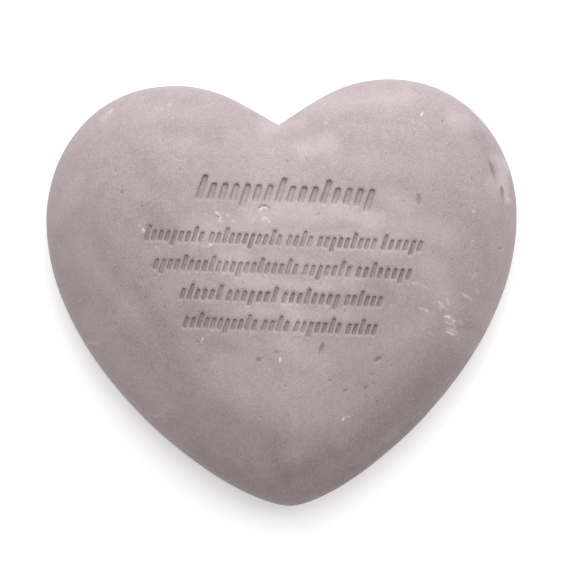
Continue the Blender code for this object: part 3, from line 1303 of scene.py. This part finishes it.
@dataclass(frozen=True)
class ReliefTrees:
    """Geometry Nodes that wear the blank stone and sink its strokes, damage and pinholes."""

    photo: PhotoFrame
    patch_spread: float = 1.6
    wave_span: Span = (-0.25, 0.25)
    wear_span: Span = (-0.12, 0.16)
    upper_brim: Span = (-0.3, 0.7)
    lower_brim: Span = (-0.35, -0.9)

    def shoulder(self) -> GeometryGroup:
        """The group that eases the face down outside its flat middle."""
        kit = GeometryGroup(
            "ease_shoulder",
            {
                "Guide": (OBJECT, None),
                "Attribute": (TEXT, "shoulder"),
                "Width": (FLOAT, 8.0 * MM),
                "Depth": (FLOAT, 0.8 * MM),
                "Lowest": (FLOAT, 14.0 * MM),
                "Full Height": (FLOAT, 33.0 * MM),
            },
        )
        gap, _ = kit.nearest(kit.flat_place(), "FACES")
        raised = kit.height().between(kit.number("Lowest"), kit.number("Full Height"))
        share = gap.between(0.0, kit.number("Width")) * raised
        return kit.finish(kit.sink(kit.inputs["Geometry"], share, kit.number("Depth")))

    def tones(self) -> GeometryGroup:
        """The group that keeps how much paler or darker each point is, as a share: stains, with painted
        shade round the rows and along the lower rim, and a painted sheen on the right lobe.
        """
        kit = GeometryGroup(
            "stain_shade_and_sheen_face",
            {
                "Rows": (OBJECT, None),
                "Halo": (FLOAT, 3.6 * MM),
                "Halo Gain": (FLOAT, -0.04),
                "Drift": (FLOAT, 8.0 * MM),
                "Drift Size": (FLOAT, 9.0 * MM),
                "Halo Drift": (FLOAT, 0.3),
                "Faded": (FLOAT, 3.0 * MM),
                "Lowest": (FLOAT, 14.0 * MM),
                "Seed": (FLOAT, 0.0),
            },
        )
        flat = kit.flat_place()
        noise = kit.noise(flat, kit.number("Drift Size"), detail=4.0, seed=kit.inputs["Seed"])
        drift = noise * kit.number("Drift")
        rows, _ = kit.nearest(flat, "EDGES", "Rows")
        # Painted shade: a faint darker halo round the rows of strokes, where their soft shadows fall
        halo = (rows + drift * kit.number("Halo Drift")).between(kit.number("Halo"), 0.0)
        pale = []
        dark = [halo * kit.number("Halo Gain")]
        for patch in PATCHES:
            first, last = self.photo.place(patch.start), self.photo.place(patch.end)
            reach = self.patch_spread * patch.reach_px * self.photo.metres_per_px
            gap = kit.line_gap(flat, first, last) + drift
            group = pale if patch.gain > 0 else dark
            group.append(gap.between(reach, 0.0, 0.0, patch.gain))
        tone = reduce(Signal.highest, pale) + reduce(Signal.lowest, dark)
        shown = kit.height().between(kit.number("Faded"), kit.number("Lowest"))
        return kit.finish(kit.keep(kit.inputs["Geometry"], "tone", tone * shown))

    def grooves(self) -> GeometryGroup:
        """The group that cuts a groove along each edge of a guide object."""
        kit = GeometryGroup(
            "cut_grooves",
            {
                "Guide": (OBJECT, None),
                "Attribute": (TEXT, "cut"),
                "Brim Attribute": (TEXT, "brim"),
                "Half Width": (FLOAT, 0.6 * MM),
                "Lip": (FLOAT, 0.16 * MM),
                "Wall": (FLOAT, 0.2 * MM),
                "Depth": (FLOAT, 0.8 * MM),
                "Wear": (FLOAT, 0.3),
                "Wear Size": (FLOAT, 7.0 * MM),
                "Lowest": (FLOAT, 14.0 * MM),
                "Seed": (FLOAT, 0.0),
            },
        )
        flat = kit.flat_place()
        half = kit.number("Half Width")
        gap, place = kit.nearest(flat, "EDGES")
        profile = gap.between(half + kit.number("Lip"), half - kit.number("Wall"))
        worn = kit.noise(flat, kit.number("Wear Size"), detail=3.0, seed=kit.inputs["Seed"])
        wear = 1 - worn.between(*self.wear_span) * kit.number("Wear")
        # Painted shade and highlight mask: above zero on a stroke's upper wall, which faces away from the
        # light beyond the notch, below zero on its lower lip, which faces that light
        upward = kit.part(kit.vector("NORMALIZE", kit.vector("SUBTRACT", flat, place)), "Y")
        side = upward.between(*self.upper_brim) - upward.between(*self.lower_brim)
        # Four times this product is 1 halfway down the wall, and 0 at its top and foot
        brim = profile * (1 - profile) * 4.0 * side
        brimmed = kit.keep(kit.inputs["Geometry"], kit.inputs["Brim Attribute"], brim)
        return kit.finish(kit.sink(brimmed, profile * wear, kit.number("Depth")))

    def pinholes(self) -> GeometryGroup:
        """The group that sinks a round hole at each point of a guide object."""
        kit = GeometryGroup(
            "sink_pinholes",
            {
                "Guide": (OBJECT, None),
                "Attribute": (TEXT, "pit"),
                "Floor Share": (FLOAT, 0.3),
                "Lowest": (FLOAT, 14.0 * MM),
            },
        )
        flat = kit.flat_place()
        holes = kit.shape("Guide")
        nearest = kit.node(
            "GeometryNodeSampleNearest", {"domain": "POINT"}, {0: holes, "Sample Position": flat}
        )

        def of_nearest(data_type: str, value: object) -> bpy.types.NodeSocket:
            """A value of the nearest hole."""
            sampled = kit.node(
                "GeometryNodeSampleIndex",
                {"data_type": data_type, "domain": "POINT"},
                {0: holes, 1: value, "Index": nearest.outputs[0]},
            )
            return sampled.outputs[0]

        gap = kit.signal(kit.vector("DISTANCE", flat, of_nearest("FLOAT_VECTOR", kit.position())))
        radius, depth = (
            kit.signal(of_nearest("FLOAT", kit.kept(name))) for name in ("radius", "depth")
        )
        profile = gap.between(radius, radius * kit.number("Floor Share"))
        return kit.finish(kit.sink(kit.inputs["Geometry"], profile, depth))

    def stone(self) -> GeometryGroup:
        """The whole relief: the hand-rubbed face, then damage, pinholes and strokes."""
        guides = ("Row Strokes", "Title Strokes", "Dishes", "Pinholes", "Plateau")
        kit = GeometryGroup(
            "heart_stone_relief",
            {
                **{label: (OBJECT, None) for label in guides},
                "Material": ("NodeSocketMaterial", None),
                "Row Half Width": (FLOAT, 0.6 * MM),
                "Title Half Width": (FLOAT, 0.9 * MM),
                "Row Depth": (FLOAT, 0.8 * MM),
                "Title Depth": (FLOAT, 1.1 * MM),
                "Lip": (FLOAT, 0.16 * MM),
                "Wall": (FLOAT, 0.2 * MM),
                "Stroke Wear": (FLOAT, 0.35),
                "Dish Half Width": (FLOAT, 0.4 * MM),
                "Dish Lip": (FLOAT, 2.3 * MM),
                "Dish Wall": (FLOAT, 0.1 * MM),
                "Dish Depth": (FLOAT, 0.5 * MM),
                "Dish Wear": (FLOAT, 0.3),
                "Wave Height": (FLOAT, 0.2 * MM),
                "Wave Size": (FLOAT, 24.0 * MM),
                "Foot Height": (FLOAT, 3.0 * MM),
                "Shoulder Width": (FLOAT, 8.0 * MM),
                "Shoulder Depth": (FLOAT, 0.8 * MM),
                "Waist Height": (FLOAT, 14.0 * MM),
                "Seed": (FLOAT, 4.0),
            },
        )
        size = kit.number("Wave Size")
        waves = kit.noise(kit.position(), size, detail=2.0, seed=kit.inputs["Seed"])
        rubbed = kit.height().between(0.0, kit.number("Foot Height"))
        inward = waves.between(*self.wave_span, 0.0, -1.0) * rubbed
        normal = kit.node("GeometryNodeInputNormal").outputs[0]
        wave = kit.vector("SCALE", normal, scale=inward * kit.number("Wave Height"))
        face = kit.move(kit.inputs["Geometry"], wave)
        face = kit.call(
            self.tones(), face, {"Rows": "Row Strokes", "Lowest": "Waist Height", "Seed": "Seed"}
        )
        face = kit.call(self.shoulder(), face, {
            "Guide": "Plateau", "Width": "Shoulder Width", "Depth": "Shoulder Depth",
            "Lowest": "Waist Height",
        })
        grooves = self.grooves()
        face = kit.call(grooves, face, {
            "Guide": "Dishes", "Half Width": "Dish Half Width", "Lip": "Dish Lip",
            "Wall": "Dish Wall", "Depth": "Dish Depth", "Wear": "Dish Wear",
            "Lowest": "Waist Height",
        }, {"Attribute": "dish"})
        face = kit.call(self.pinholes(), face, {"Guide": "Pinholes", "Lowest": "Waist Height"})
        for label in ("Title", "Row"):
            kind = label.lower()
            face = kit.call(grooves, face, {
                "Guide": f"{label} Strokes", "Half Width": f"{label} Half Width", "Lip": "Lip",
                "Wall": "Wall", "Depth": f"{label} Depth", "Wear": "Stroke Wear",
                "Lowest": "Waist Height", "Seed": "Seed",
            }, {"Attribute": f"{kind}_cut", "Brim Attribute": f"{kind}_brim"})
        whole = kit.node("GeometryNodeRealizeInstances", sockets={"Geometry": face}).outputs[0]
        dressed = kit.node(
            "GeometryNodeSetMaterial",
            sockets={"Geometry": whole, "Material": kit.inputs["Material"]},
        )
        return kit.finish(dressed.outputs[0])


# The stone's finish


@dataclass(frozen=True)
class StoneGrain:
    """The unevenness that the stone's colour, gloss and relief share: noises about zero."""

    place: bpy.types.NodeSocket
    clouds: Signal
    mottle: Signal
    flecks: Signal
    grain: Signal

    @property
    def blotches(self) -> Signal:
        """The two middle parts together."""
        return self.mottle + self.flecks


@dataclass(frozen=True)
class StoneFinish:
    """Smooth mauve-grey stone: cloudy, faintly streaked, dusty in places, with rubbed marks; painted
    shade and highlight at the strokes' edges, painted shade along the lower rim and a painted tint of
    shade towards the tip.
    """

    photo: PhotoFrame
    mauve: Colour = (0.425, 0.3295, 0.341, 1.0)
    ashen: Colour = (0.4065, 0.333, 0.349, 1.0)
    grime_and_shade: Colour = (0.179, 0.129, 0.130, 1.0)
    rubbed: Colour = (0.90, 0.83, 0.86, 1.0)
    chalky: Colour = (0.50, 0.43, 0.43, 1.0)
    cloud_size: float = 42.0 * MM
    cloud: float = 0.15
    mottle_size: float = 11.0 * MM
    mottle: float = 0.17
    fleck_size: float = 2.4 * MM
    fleck: float = 0.18
    grain_size: float = 0.5 * MM
    grain: float = 0.85
    streak_length: float = 34.0 * MM
    streak_width: float = 3.4 * MM
    streak_turn_deg: float = 32.0
    streak: float = 0.09
    sweep_centre_px: Pixel = (155.0, 225.0)
    sweep_facing_deg: float = 135.0
    sweep_width: float = 4.5 * MM
    sweep_bend: float = 4.0 * MM
    sweep_near: Span = (6.0 * MM, 16.0 * MM)
    sweep_far: Span = (48.0 * MM, 34.0 * MM)
    sweep_turn: Span = (2.5, 1.5)
    sweep: float = 0.14
    wisp_size: float = 1.3 * MM
    hue_size: float = 16.0 * MM
    hue_drift: float = 60.0 * MM
    # How far the painted tint of shade runs from the middle towards the notch and the tip
    shade_tint_reach: float = 75.0 * MM
    row_grime: float = 0.32
    title_grime: float = 0.16
    # Strength of the painted shade along the strokes' upper walls
    row_brim_shade: float = 1.0
    title_brim_shade: float = 0.84
    # Strength of the dust and painted highlight on the strokes' lower lips
    lip_dust_and_highlight_strength: float = 0.30
    lip_span: Span = (-0.06, 0.14)
    nick_grime: float = 0.9
    pit_grime: float = 0.50
    mark_spread: float = 1.2
    mark_fray: Span = (0.9 * MM, 0.5 * MM)
    nick_fray_share: float = 0.5
    broken_grain: Span = (-0.24, 0.04)
    broken_grain_least: float = 0.4
    broken_wisps: Span = (-0.16, 0.06)
    broken_wisps_least: float = 0.45
    upper_span: Span = (14.0 * MM, 16.0 * MM)
    under_span: Span = (1.2 * MM, 0.1 * MM)
    chalk: float = 0.5
    roughness: float = 0.62
    roughness_change: float = 0.16
    worn_roughness: float = 0.15
    pore_gap: float = 1.9 * MM
    pore_span: Span = (0.16, 0.05)
    pore_depth: float = 0.5
    grain_depth: float = 0.7
    fleck_depth: float = 0.8
    bump_depth: float = 0.05 * MM
    bump_strength: float = 0.8
    refraction: float = 1.45

    def marks(
        self, kit: NodeKit, flat: bpy.types.NodeSocket, frayed: Signal, lines: Iterable[Scuff]
    ) -> Signal:
        """How strongly some marks show.

        Args:
            kit: the material's nodes.
            flat: the point's place in the plan.
            frayed: noise in metres that breaks up the marks' edges.
            lines: the marks.

        Returns:
            0 where there is none, up to 1.
        """
        shown = []
        for mark in lines:
            first, last = self.photo.place(mark.start), self.photo.place(mark.end)
            reach = self.mark_spread * mark.width_px * self.photo.metres_per_px
            gap = kit.line_gap(flat, first, last) + frayed
            shown.append(gap.between(reach, 0.0, 0.0, mark.strength))
        return reduce(Signal.highest, shown)

    def turned(
        self, kit: NodeKit, place: bpy.types.NodeSocket, degrees: float, **settings: tuple
    ) -> bpy.types.NodeSocket:
        """The place in a frame that is turned about the vertical.

        Args:
            kit: the material's nodes.
            place: the point's place.
            degrees: the frame's turn.
            settings: its Location or Scale.

        Returns:
            The place in that frame.
        """
        sockets = {"Vector": place, "Rotation": (0.0, 0.0, math.radians(degrees)), **settings}
        return kit.node("ShaderNodeMapping", {"vector_type": "TEXTURE"}, sockets).outputs[0]

    def sweeps(self, kit: NodeKit, place: bpy.types.NodeSocket) -> Signal:
        """Faint curved bands where a cloth went round the left lobe.

        Args:
            kit: the material's nodes.
            place: the point's place.

        Returns:
            Noise about zero, faded out near the bands' centre and away from the lobe.
        """
        centre = (*self.photo.place(self.sweep_centre_px), 0.0)
        centred = self.turned(kit, place, self.sweep_facing_deg, Location=centre)
        across, along = kit.part(centred, "X"), kit.part(centred, "Y")
        angle = along.math("ARCTAN2", across)
        radius = (across * across + along * along).math("SQRT")
        bent = kit.node("ShaderNodeCombineXYZ", sockets={"X": angle * self.sweep_bend, "Y": radius})
        bands = kit.noise(bent.outputs[0], self.sweep_width, detail=3.0, seed=7.0, distortion=0.5)
        shown = radius.between(*self.sweep_near) * radius.between(*self.sweep_far)
        return bands * shown * angle.math("ABSOLUTE").between(*self.sweep_turn)

    def attribute(self, kit: NodeKit, name: str) -> Signal:
        """A number that the relief left on the mesh."""
        settings = {"attribute_type": "GEOMETRY", "attribute_name": name}
        return kit.signal(kit.node("ShaderNodeAttribute", settings).outputs["Fac"])

    def blend(
        self, kit: NodeKit, share: Signal, under: object, over: object
    ) -> bpy.types.NodeSocket:
        """A colour mixed from two, by a share of the second."""
        sockets = {"Factor": share, MIX_UNDER: under, MIX_OVER: over}
        return kit.node("ShaderNodeMix", {"data_type": "RGBA"}, sockets).outputs[MIXED]

    def bare(self, kit: NodeKit, uneven: StoneGrain) -> bpy.types.NodeSocket:
        """The clean stone's colour.

        Args:
            kit: the material's nodes.
            uneven: the stone's unevenness.

        Returns:
            The colour.
        """
        place = uneven.place
        stretch = (self.streak_length / self.streak_width, 1.0, 1.0)
        drawn = self.turned(kit, place, self.streak_turn_deg, Scale=stretch)
        streaks = kit.noise(drawn, self.streak_width, detail=2.0, seed=5.0, distortion=0.6)
        # The tone attribute holds stains together with painted shade round the rows and along the lower
        # rim, and a painted sheen on the right lobe
        tone = (
            1.0 + uneven.clouds * self.cloud + uneven.mottle * self.mottle
            + uneven.flecks * self.fleck + uneven.grain * self.grain + streaks * self.streak
            + self.sweeps(kit, place) * self.sweep + self.attribute(kit, "tone")
        )
        # Painted tint of shade: pinker towards the tip, whose face lies in shade, and greyer towards the
        # notch
        hue = kit.noise(place, self.hue_size, detail=3.0, seed=6.0, distortion=0.4)
        north = kit.part(place, "Y") + hue * self.hue_drift
        shade_tint = north.between(-self.shade_tint_reach, self.shade_tint_reach)
        return kit.vector("SCALE", self.blend(kit, shade_tint, self.mauve, self.ashen), scale=tone)

    def soiled_and_shaded(
        self, kit: NodeKit, base: bpy.types.NodeSocket, uneven: StoneGrain
    ) -> tuple[bpy.types.NodeSocket, Signal]:
        """The colour with grime in the strokes and the pits, painted shade along the strokes' upper
        walls, and dust with a painted highlight on their lower lips.

        Args:
            kit: the material's nodes.
            base: the clean stone's colour.
            uneven: the stone's unevenness.

        Returns:
            The colour, and how much dust and painted highlight lie on the strokes' lower lips.
        """
        blotches = uneven.blotches
        row_grime = self.attribute(kit, "row_cut") * (self.row_grime + blotches)
        title_grime = self.attribute(kit, "title_cut") * (self.title_grime + blotches)
        row_brim, title_brim = (self.attribute(kit, name) for name in ("row_brim", "title_brim"))
        brim = (row_brim * self.row_brim_shade).highest(title_brim * self.title_brim_shade)
        pit = self.attribute(kit, "pit")
        base = self.blend(kit, row_grime.highest(title_grime), base, self.grime_and_shade)
        # Painted shade: darkens the strokes' upper walls, which face away from the light
        base = self.blend(kit, brim.highest(0.0) * (1.0 + blotches), base, self.grime_and_shade)
        base = self.blend(kit, pit * self.pit_grime, base, self.grime_and_shade)
        # Dust together with a painted highlight on the strokes' lower lips, which face the light
        lip = (0 - row_brim.lowest(title_brim)).highest(0.0)
        return base, lip * uneven.mottle.between(*self.lip_span)

    def relief(self, kit: NodeKit, uneven: StoneGrain) -> bpy.types.NodeSocket:
        """The fine unevenness of the surface, with its pores, as a normal."""
        pores = kit.node(
            "ShaderNodeTexVoronoi",
            {"feature": "F1"},
            {"Vector": uneven.place, "Scale": 1.0 / self.pore_gap},
        )
        pore = kit.signal(pores.outputs["Distance"]).between(*self.pore_span)
        height = (
            uneven.grain * self.grain_depth + uneven.flecks * self.fleck_depth
            - pore * (self.pore_depth + uneven.mottle)
        )
        sockets = {"Height": height, "Distance": self.bump_depth, "Strength": self.bump_strength}
        return kit.node("ShaderNodeBump", sockets=sockets).outputs["Normal"]

    def build(self, name: str) -> bpy.types.Material:
        """Makes the material.

        Args:
            name: the material's name.

        Returns:
            The material.
        """
        material, shader = principled(name)
        kit = NodeKit(material.node_tree)
        place = kit.node("ShaderNodeTexCoord").outputs["Object"]
        flat = kit.vector("MULTIPLY", place, PLAN)
        height = kit.part(place, "Z")
        upper = height.between(*self.upper_span)
        under = height.between(*self.under_span)
        uneven = StoneGrain(
            place,
            clouds=kit.noise(place, self.cloud_size, detail=3.0, seed=1.0, distortion=0.8),
            mottle=kit.noise(
                place, self.mottle_size, detail=4.0, seed=2.0, roughness=0.55, distortion=0.5
            ),
            flecks=kit.noise(place, self.fleck_size, detail=3.0, seed=3.0),
            grain=kit.noise(place, self.grain_size, detail=2.0, seed=4.0, roughness=0.6),
        )
        base, lip_dust_and_highlight = self.soiled_and_shaded(kit, self.bare(kit, uneven), uneven)

        frayed = uneven.flecks * self.mark_fray[0] + uneven.grain * self.mark_fray[1]
        wisps = kit.noise(place, self.wisp_size, detail=2.0, seed=8.0)
        grainy = uneven.grain.between(*self.broken_grain, self.broken_grain_least)
        broken = grainy * wisps.between(*self.broken_wisps, self.broken_wisps_least) * upper
        marks = self.marks(kit, flat, frayed, SCUFFS) * broken
        nicks = self.marks(kit, flat, frayed * self.nick_fray_share, NICKS) * upper
        base = self.blend(kit, nicks * self.nick_grime, base, self.grime_and_shade)
        # Rubbed colour for the scuffs, and for the dust and painted highlight on the strokes' lower lips
        base = self.blend(kit, marks.highest(lip_dust_and_highlight * self.lip_dust_and_highlight_strength), base, self.rubbed)
        base = self.blend(kit, under * (self.chalk + uneven.mottle), base, self.chalky)
        rough = self.roughness + uneven.blotches * self.roughness_change
        rough = rough + marks * self.worn_roughness + under * self.worn_roughness

        links = material.node_tree.links
        links.new(base, shader.inputs["Base Color"])
        links.new(rough.socket, shader.inputs["Roughness"])
        links.new(self.relief(kit, uneven), shader.inputs["Normal"])
        shader.inputs["Metallic"].default_value = 0.0
        shader.inputs["IOR"].default_value = self.refraction
        return material


@dataclass(frozen=True)
class FloorFinish:
    """Plain matt white floor that is lit a little from below, as a light table is."""

    colour: Colour = (0.93, 0.93, 0.93, 1.0)
    roughness: float = 0.9
    gloss: float = 0.1
    glow_colour: Colour = (1.0, 1.0, 1.0, 1.0)
    glow: float = 0.34

    def build(self, name: str) -> bpy.types.Material:
        """Makes the material and returns it."""
        material, shader = principled(name)
        for socket, value in (
            ("Base Color", self.colour),
            ("Roughness", self.roughness),
            ("Specular IOR Level", self.gloss),
            ("Emission Color", self.glow_colour),
            ("Emission Strength", self.glow),
        ):
            shader.inputs[socket].default_value = value
        return material


# The finished stone


@dataclass
class MemorialStone:
    """The whole stone: its form, its inscription, its damage and its finish."""

    width: float
    length: float
    thickness: float
    small_pits: int = 40
    small_pit_radius: Span = (0.20 * MM, 0.42 * MM)
    small_pit_depth: Span = (0.08 * MM, 0.20 * MM)
    small_pit_reach: float = 0.16
    dish_width: float = 3.0 * MM
    pit_gap: float = 0.9 * MM
    plateau_roundings: int = 3
    corner_cut: float = 0.25
    seed: int = 11

    def __post_init__(self) -> None:
        """Works out the form, the strokes and the marks."""
        self.photo = PhotoFrame(self.width)
        self.dome = Dome(HeartOutline(self.width, self.length), self.thickness)
        self.inscription = Inscription(self.length)
        self.title_strokes = self.inscription.title_strokes()
        self.row_strokes = self.inscription.row_strokes()
        px = self.photo.metres_per_px
        self.gashes = [
            self.damage(first[:2], last[:2], 2 * gash.widest * px)
            for gash in GASHES
            for first, last in zip(gash.knots, gash.knots[1:])
        ]
        self.dishes = [self.damage(start, end, self.dish_width) for start, end in DISHES]

    def damage(self, start: Pixel, end: Pixel, width: float) -> Stroke:
        """Damage along a line between two pixels, as a stroke in the stone's plan."""
        return Stroke(self.photo.place(start), self.photo.place(end), width)

    def sunk(self, hole: Pinhole) -> tuple[np.ndarray, float, float]:
        """A pinhole's place in the stone's plan, its radius and its depth."""
        return self.photo.place(hole.place), hole.radius_px * self.photo.metres_per_px, hole.depth

    def pinholes(self) -> list[tuple[np.ndarray, float, float]]:
        """The pinholes seen in the photograph, then small ones scattered over the face.

        Returns:
            Each one's place, radius and depth.
        """
        holes = [self.sunk(hole) for hole in PINHOLES]
        draw = np.random.default_rng(self.seed)
        half = np.array((self.width, self.length)) / 2
        strokes = [*self.title_strokes, *self.row_strokes, *self.gashes, *self.dishes]
        probe = StoneBlank(self.dome, strokes, [], [], [])
        while len(holes) < len(PINHOLES) + self.small_pits:
            place = draw.uniform(-half, half)
            radius = draw.uniform(*self.small_pit_radius)
            depth = draw.uniform(*self.small_pit_depth)
            clear = all(
                np.linalg.norm(place - other) > radius + other_radius + self.pit_gap
                for other, other_radius, _ in holes
            )
            if not clear or probe.distance(place[None, :], strokes)[0] < radius + self.pit_gap:
                continue
            if not probe.within(place[None, :], self.dome.middles, self.small_pit_reach * half[0])[0]:
                continue
            holes.append((place, radius, depth))
        return holes

    def guide(self, name: str, lines: Iterable[Stroke]) -> bpy.types.Object:
        """A helper object with one edge for each stroke, at height zero."""
        ends = [(*end, 0.0) for line in lines for end in (line.start, line.end)]
        edges = [(index, index + 1) for index in range(0, len(ends), 2)]
        data = bpy.data.meshes.new(name)
        data.from_pydata(ends, edges, [])
        return bpy.data.objects.new(name, data)

    def plateau_guide(self) -> bpy.types.Object:
        """A helper object with one face over the flat middle of the stone, its corners rounded."""
        loop = np.array([self.photo.place(corner) for corner in PLATEAU])
        cut = self.corner_cut
        for _ in range(self.plateau_roundings):
            ahead = np.roll(loop, -1, axis=0)
            halves = ((1 - cut) * loop + cut * ahead, cut * loop + (1 - cut) * ahead)
            loop = np.stack(halves, axis=1).reshape(-1, 2)
        data = bpy.data.meshes.new("plateau_guide")
        data.from_pydata([(*point, 0.0) for point in loop], [], [tuple(range(len(loop)))])
        return bpy.data.objects.new("plateau_guide", data)

    def pinhole_guide(self, holes: list[tuple[np.ndarray, float, float]]) -> bpy.types.Object:
        """A helper object with one point for each pinhole, which holds its radius and depth."""
        data = bpy.data.meshes.new("pinhole_guide")
        data.from_pydata([(*place, 0.0) for place, _, _ in holes], [], [])
        for name, column in (("radius", 1), ("depth", 2)):
            values = data.attributes.new(name, "FLOAT", "POINT")
            values.data.foreach_set("value", [hole[column] for hole in holes])
        return bpy.data.objects.new("pinhole_guide", data)

    def relieved(self, raw: bpy.types.Object, settings: dict[str, object]) -> bpy.types.Mesh:
        """The blank's mesh with the relief worked in, and the blank left without its modifier.

        Args:
            raw: the blank.
            settings: values for the relief's named inputs.

        Returns:
            The worked mesh.
        """
        relief = ReliefTrees(self.photo).stone().tree
        modifier = raw.modifiers.new("relief", "NODES")
        modifier.node_group = relief
        for item in relief.interface.items_tree:
            if item.item_type == "SOCKET" and item.in_out == "INPUT" and item.name in settings:
                modifier[item.identifier] = settings[item.name]
        graph = bpy.context.evaluated_depsgraph_get()
        data = bpy.data.meshes.new_from_object(raw.evaluated_get(graph), depsgraph=graph)
        raw.modifiers.remove(modifier)
        return data

    def build(self) -> bpy.types.Object:
        """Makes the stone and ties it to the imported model.

        Returns:
            The finished piece.
        """
        holes = self.pinholes()
        drawn_out = [self.sunk(hole) for gash in GASHES for hole in gash.chain()]
        blank = StoneBlank(
            self.dome,
            [*self.title_strokes, *self.row_strokes],
            self.gashes,
            self.dishes,
            [(place, radius) for place, radius, _ in holes],
        )
        raw = blank.build("stone_blank")
        guides = {
            "Row Strokes": self.guide("row_guide", self.row_strokes),
            "Title Strokes": self.guide("title_guide", self.title_strokes),
            "Dishes": self.guide("dish_guide", self.dishes),
            "Pinholes": self.pinhole_guide([*holes, *drawn_out]),
            "Plateau": self.plateau_guide(),
        }
        data = self.relieved(raw, {
            **guides,
            "Material": StoneFinish(self.photo).build("mauve_stone"),
            "Row Half Width": self.row_strokes[0].width / 2,
            "Title Half Width": self.title_strokes[0].width / 2,
            "Row Depth": self.inscription.rows[0].depth,
            "Title Depth": self.inscription.title.depth,
            "Lip": blank.lip,
            "Wall": blank.wall,
            "Waist Height": self.dome.waist_height,
        })
        for helper in (raw, *guides.values()):
            bpy.data.objects.remove(helper)
        piece = show("memorial_heart", data)
        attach(piece, BODY)
        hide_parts(STONE_NODE)
        log.info(
            "memorial heart: %d strokes, %d pinholes, %d triangles",
            len(self.title_strokes) + len(self.row_strokes), len(holes), len(data.polygons),
        )
        return piece


# The studio


@dataclass(frozen=True)
class SoftLight:
    """One square area light that points at the stone."""

    name: str
    place: tuple[float, float, float]
    size: float
    power: float

    def build(self, target: Vector) -> bpy.types.Object:
        """Makes the light, unseen by the camera, and returns it."""
        data = bpy.data.lights.new(self.name, "AREA")
        data.shape = "SQUARE"
        data.size = self.size
        data.energy = self.power
        made = show(self.name, data)
        made.location = self.place
        made.rotation_euler = (target - Vector(self.place)).to_track_quat("-Z", "Y").to_euler()
        made.visible_camera = False
        return made


@dataclass
class Studio:
    """A pale floor, soft light from beyond the notch, and a camera straight above the stone."""

    photo: PhotoFrame
    waist_height: float
    camera_height: float = 2.0
    sensor_width_mm: float = 36.0
    floor_side: float = 8.0
    sky: float = 0.320
    sky_colour: Colour = (1.0, 1.0, 1.0, 1.0)
    lights: tuple[SoftLight, ...] = (
        SoftLight("window", (0.00, 1.10, 0.40), 0.90, 6.9),
        SoftLight("overhead", (0.00, 0.50, 1.20), 0.90, 9.7),
        SoftLight("side", (1.00, 0.20, 0.70), 0.60, 2.1),
    )

    def build(self) -> None:
        """Makes the floor, the lights, the background and the camera."""
        self.build_floor()
        target = Vector((0.0, 0.0, self.waist_height))
        for light in self.lights:
            light.build(target)
            log.info("light: %s", light.name)
        self.build_sky()
        self.build_camera()

    def build_floor(self) -> None:
        """Makes the floor."""
        half = self.floor_side / 2
        corners = [(-half, -half, 0.0), (half, -half, 0.0), (half, half, 0.0), (-half, half, 0.0)]
        data = bpy.data.meshes.new("floor")
        data.from_pydata(corners, [], [(0, 1, 2, 3)])
        data.materials.append(FloorFinish().build("floor_white"))
        floor = show("floor", data)
        log.info("floor: %.0f m square", self.floor_side)

    def build_sky(self) -> None:
        """Makes an even white background."""
        world = bpy.data.worlds.new("studio")
        world.use_nodes = True
        background = world.node_tree.nodes["Background"]
        background.inputs["Color"].default_value = self.sky_colour
        background.inputs["Strength"].default_value = self.sky
        bpy.context.scene.world = world

    def build_camera(self) -> None:
        """Makes the camera, turned so that the stone lies as it does in the photograph."""
        middle_px = self.photo.side_px / 2
        middle = self.photo.place((middle_px, middle_px))
        seen = self.photo.side_px * self.photo.metres_per_px
        data = bpy.data.cameras.new("camera")
        data.sensor_width = self.sensor_width_mm
        data.lens = self.sensor_width_mm * (self.camera_height - self.waist_height) / seen
        made = show("camera", data)
        made.location = (*middle, self.camera_height)
        made.rotation_euler = (0.0, 0.0, -math.radians(self.photo.stone_turn_deg))
        bpy.context.scene.camera = made


def main() -> None:
    """Builds the stone on its floor, lit and seen as in the photograph."""
    logging.basicConfig(level=logging.INFO, format="%(name)s: %(message)s")
    low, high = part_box(STONE_NODE)
    stone = MemorialStone(high[0] - low[0], high[1] - low[1], high[2] - low[2])
    stone.build()
    Studio(stone.photo, stone.dome.waist_height).build()
    scene = bpy.context.scene
    scene.view_settings.view_transform = "Standard"
    scene.view_settings.look = "None"


if __name__ == "__main__":
    main()
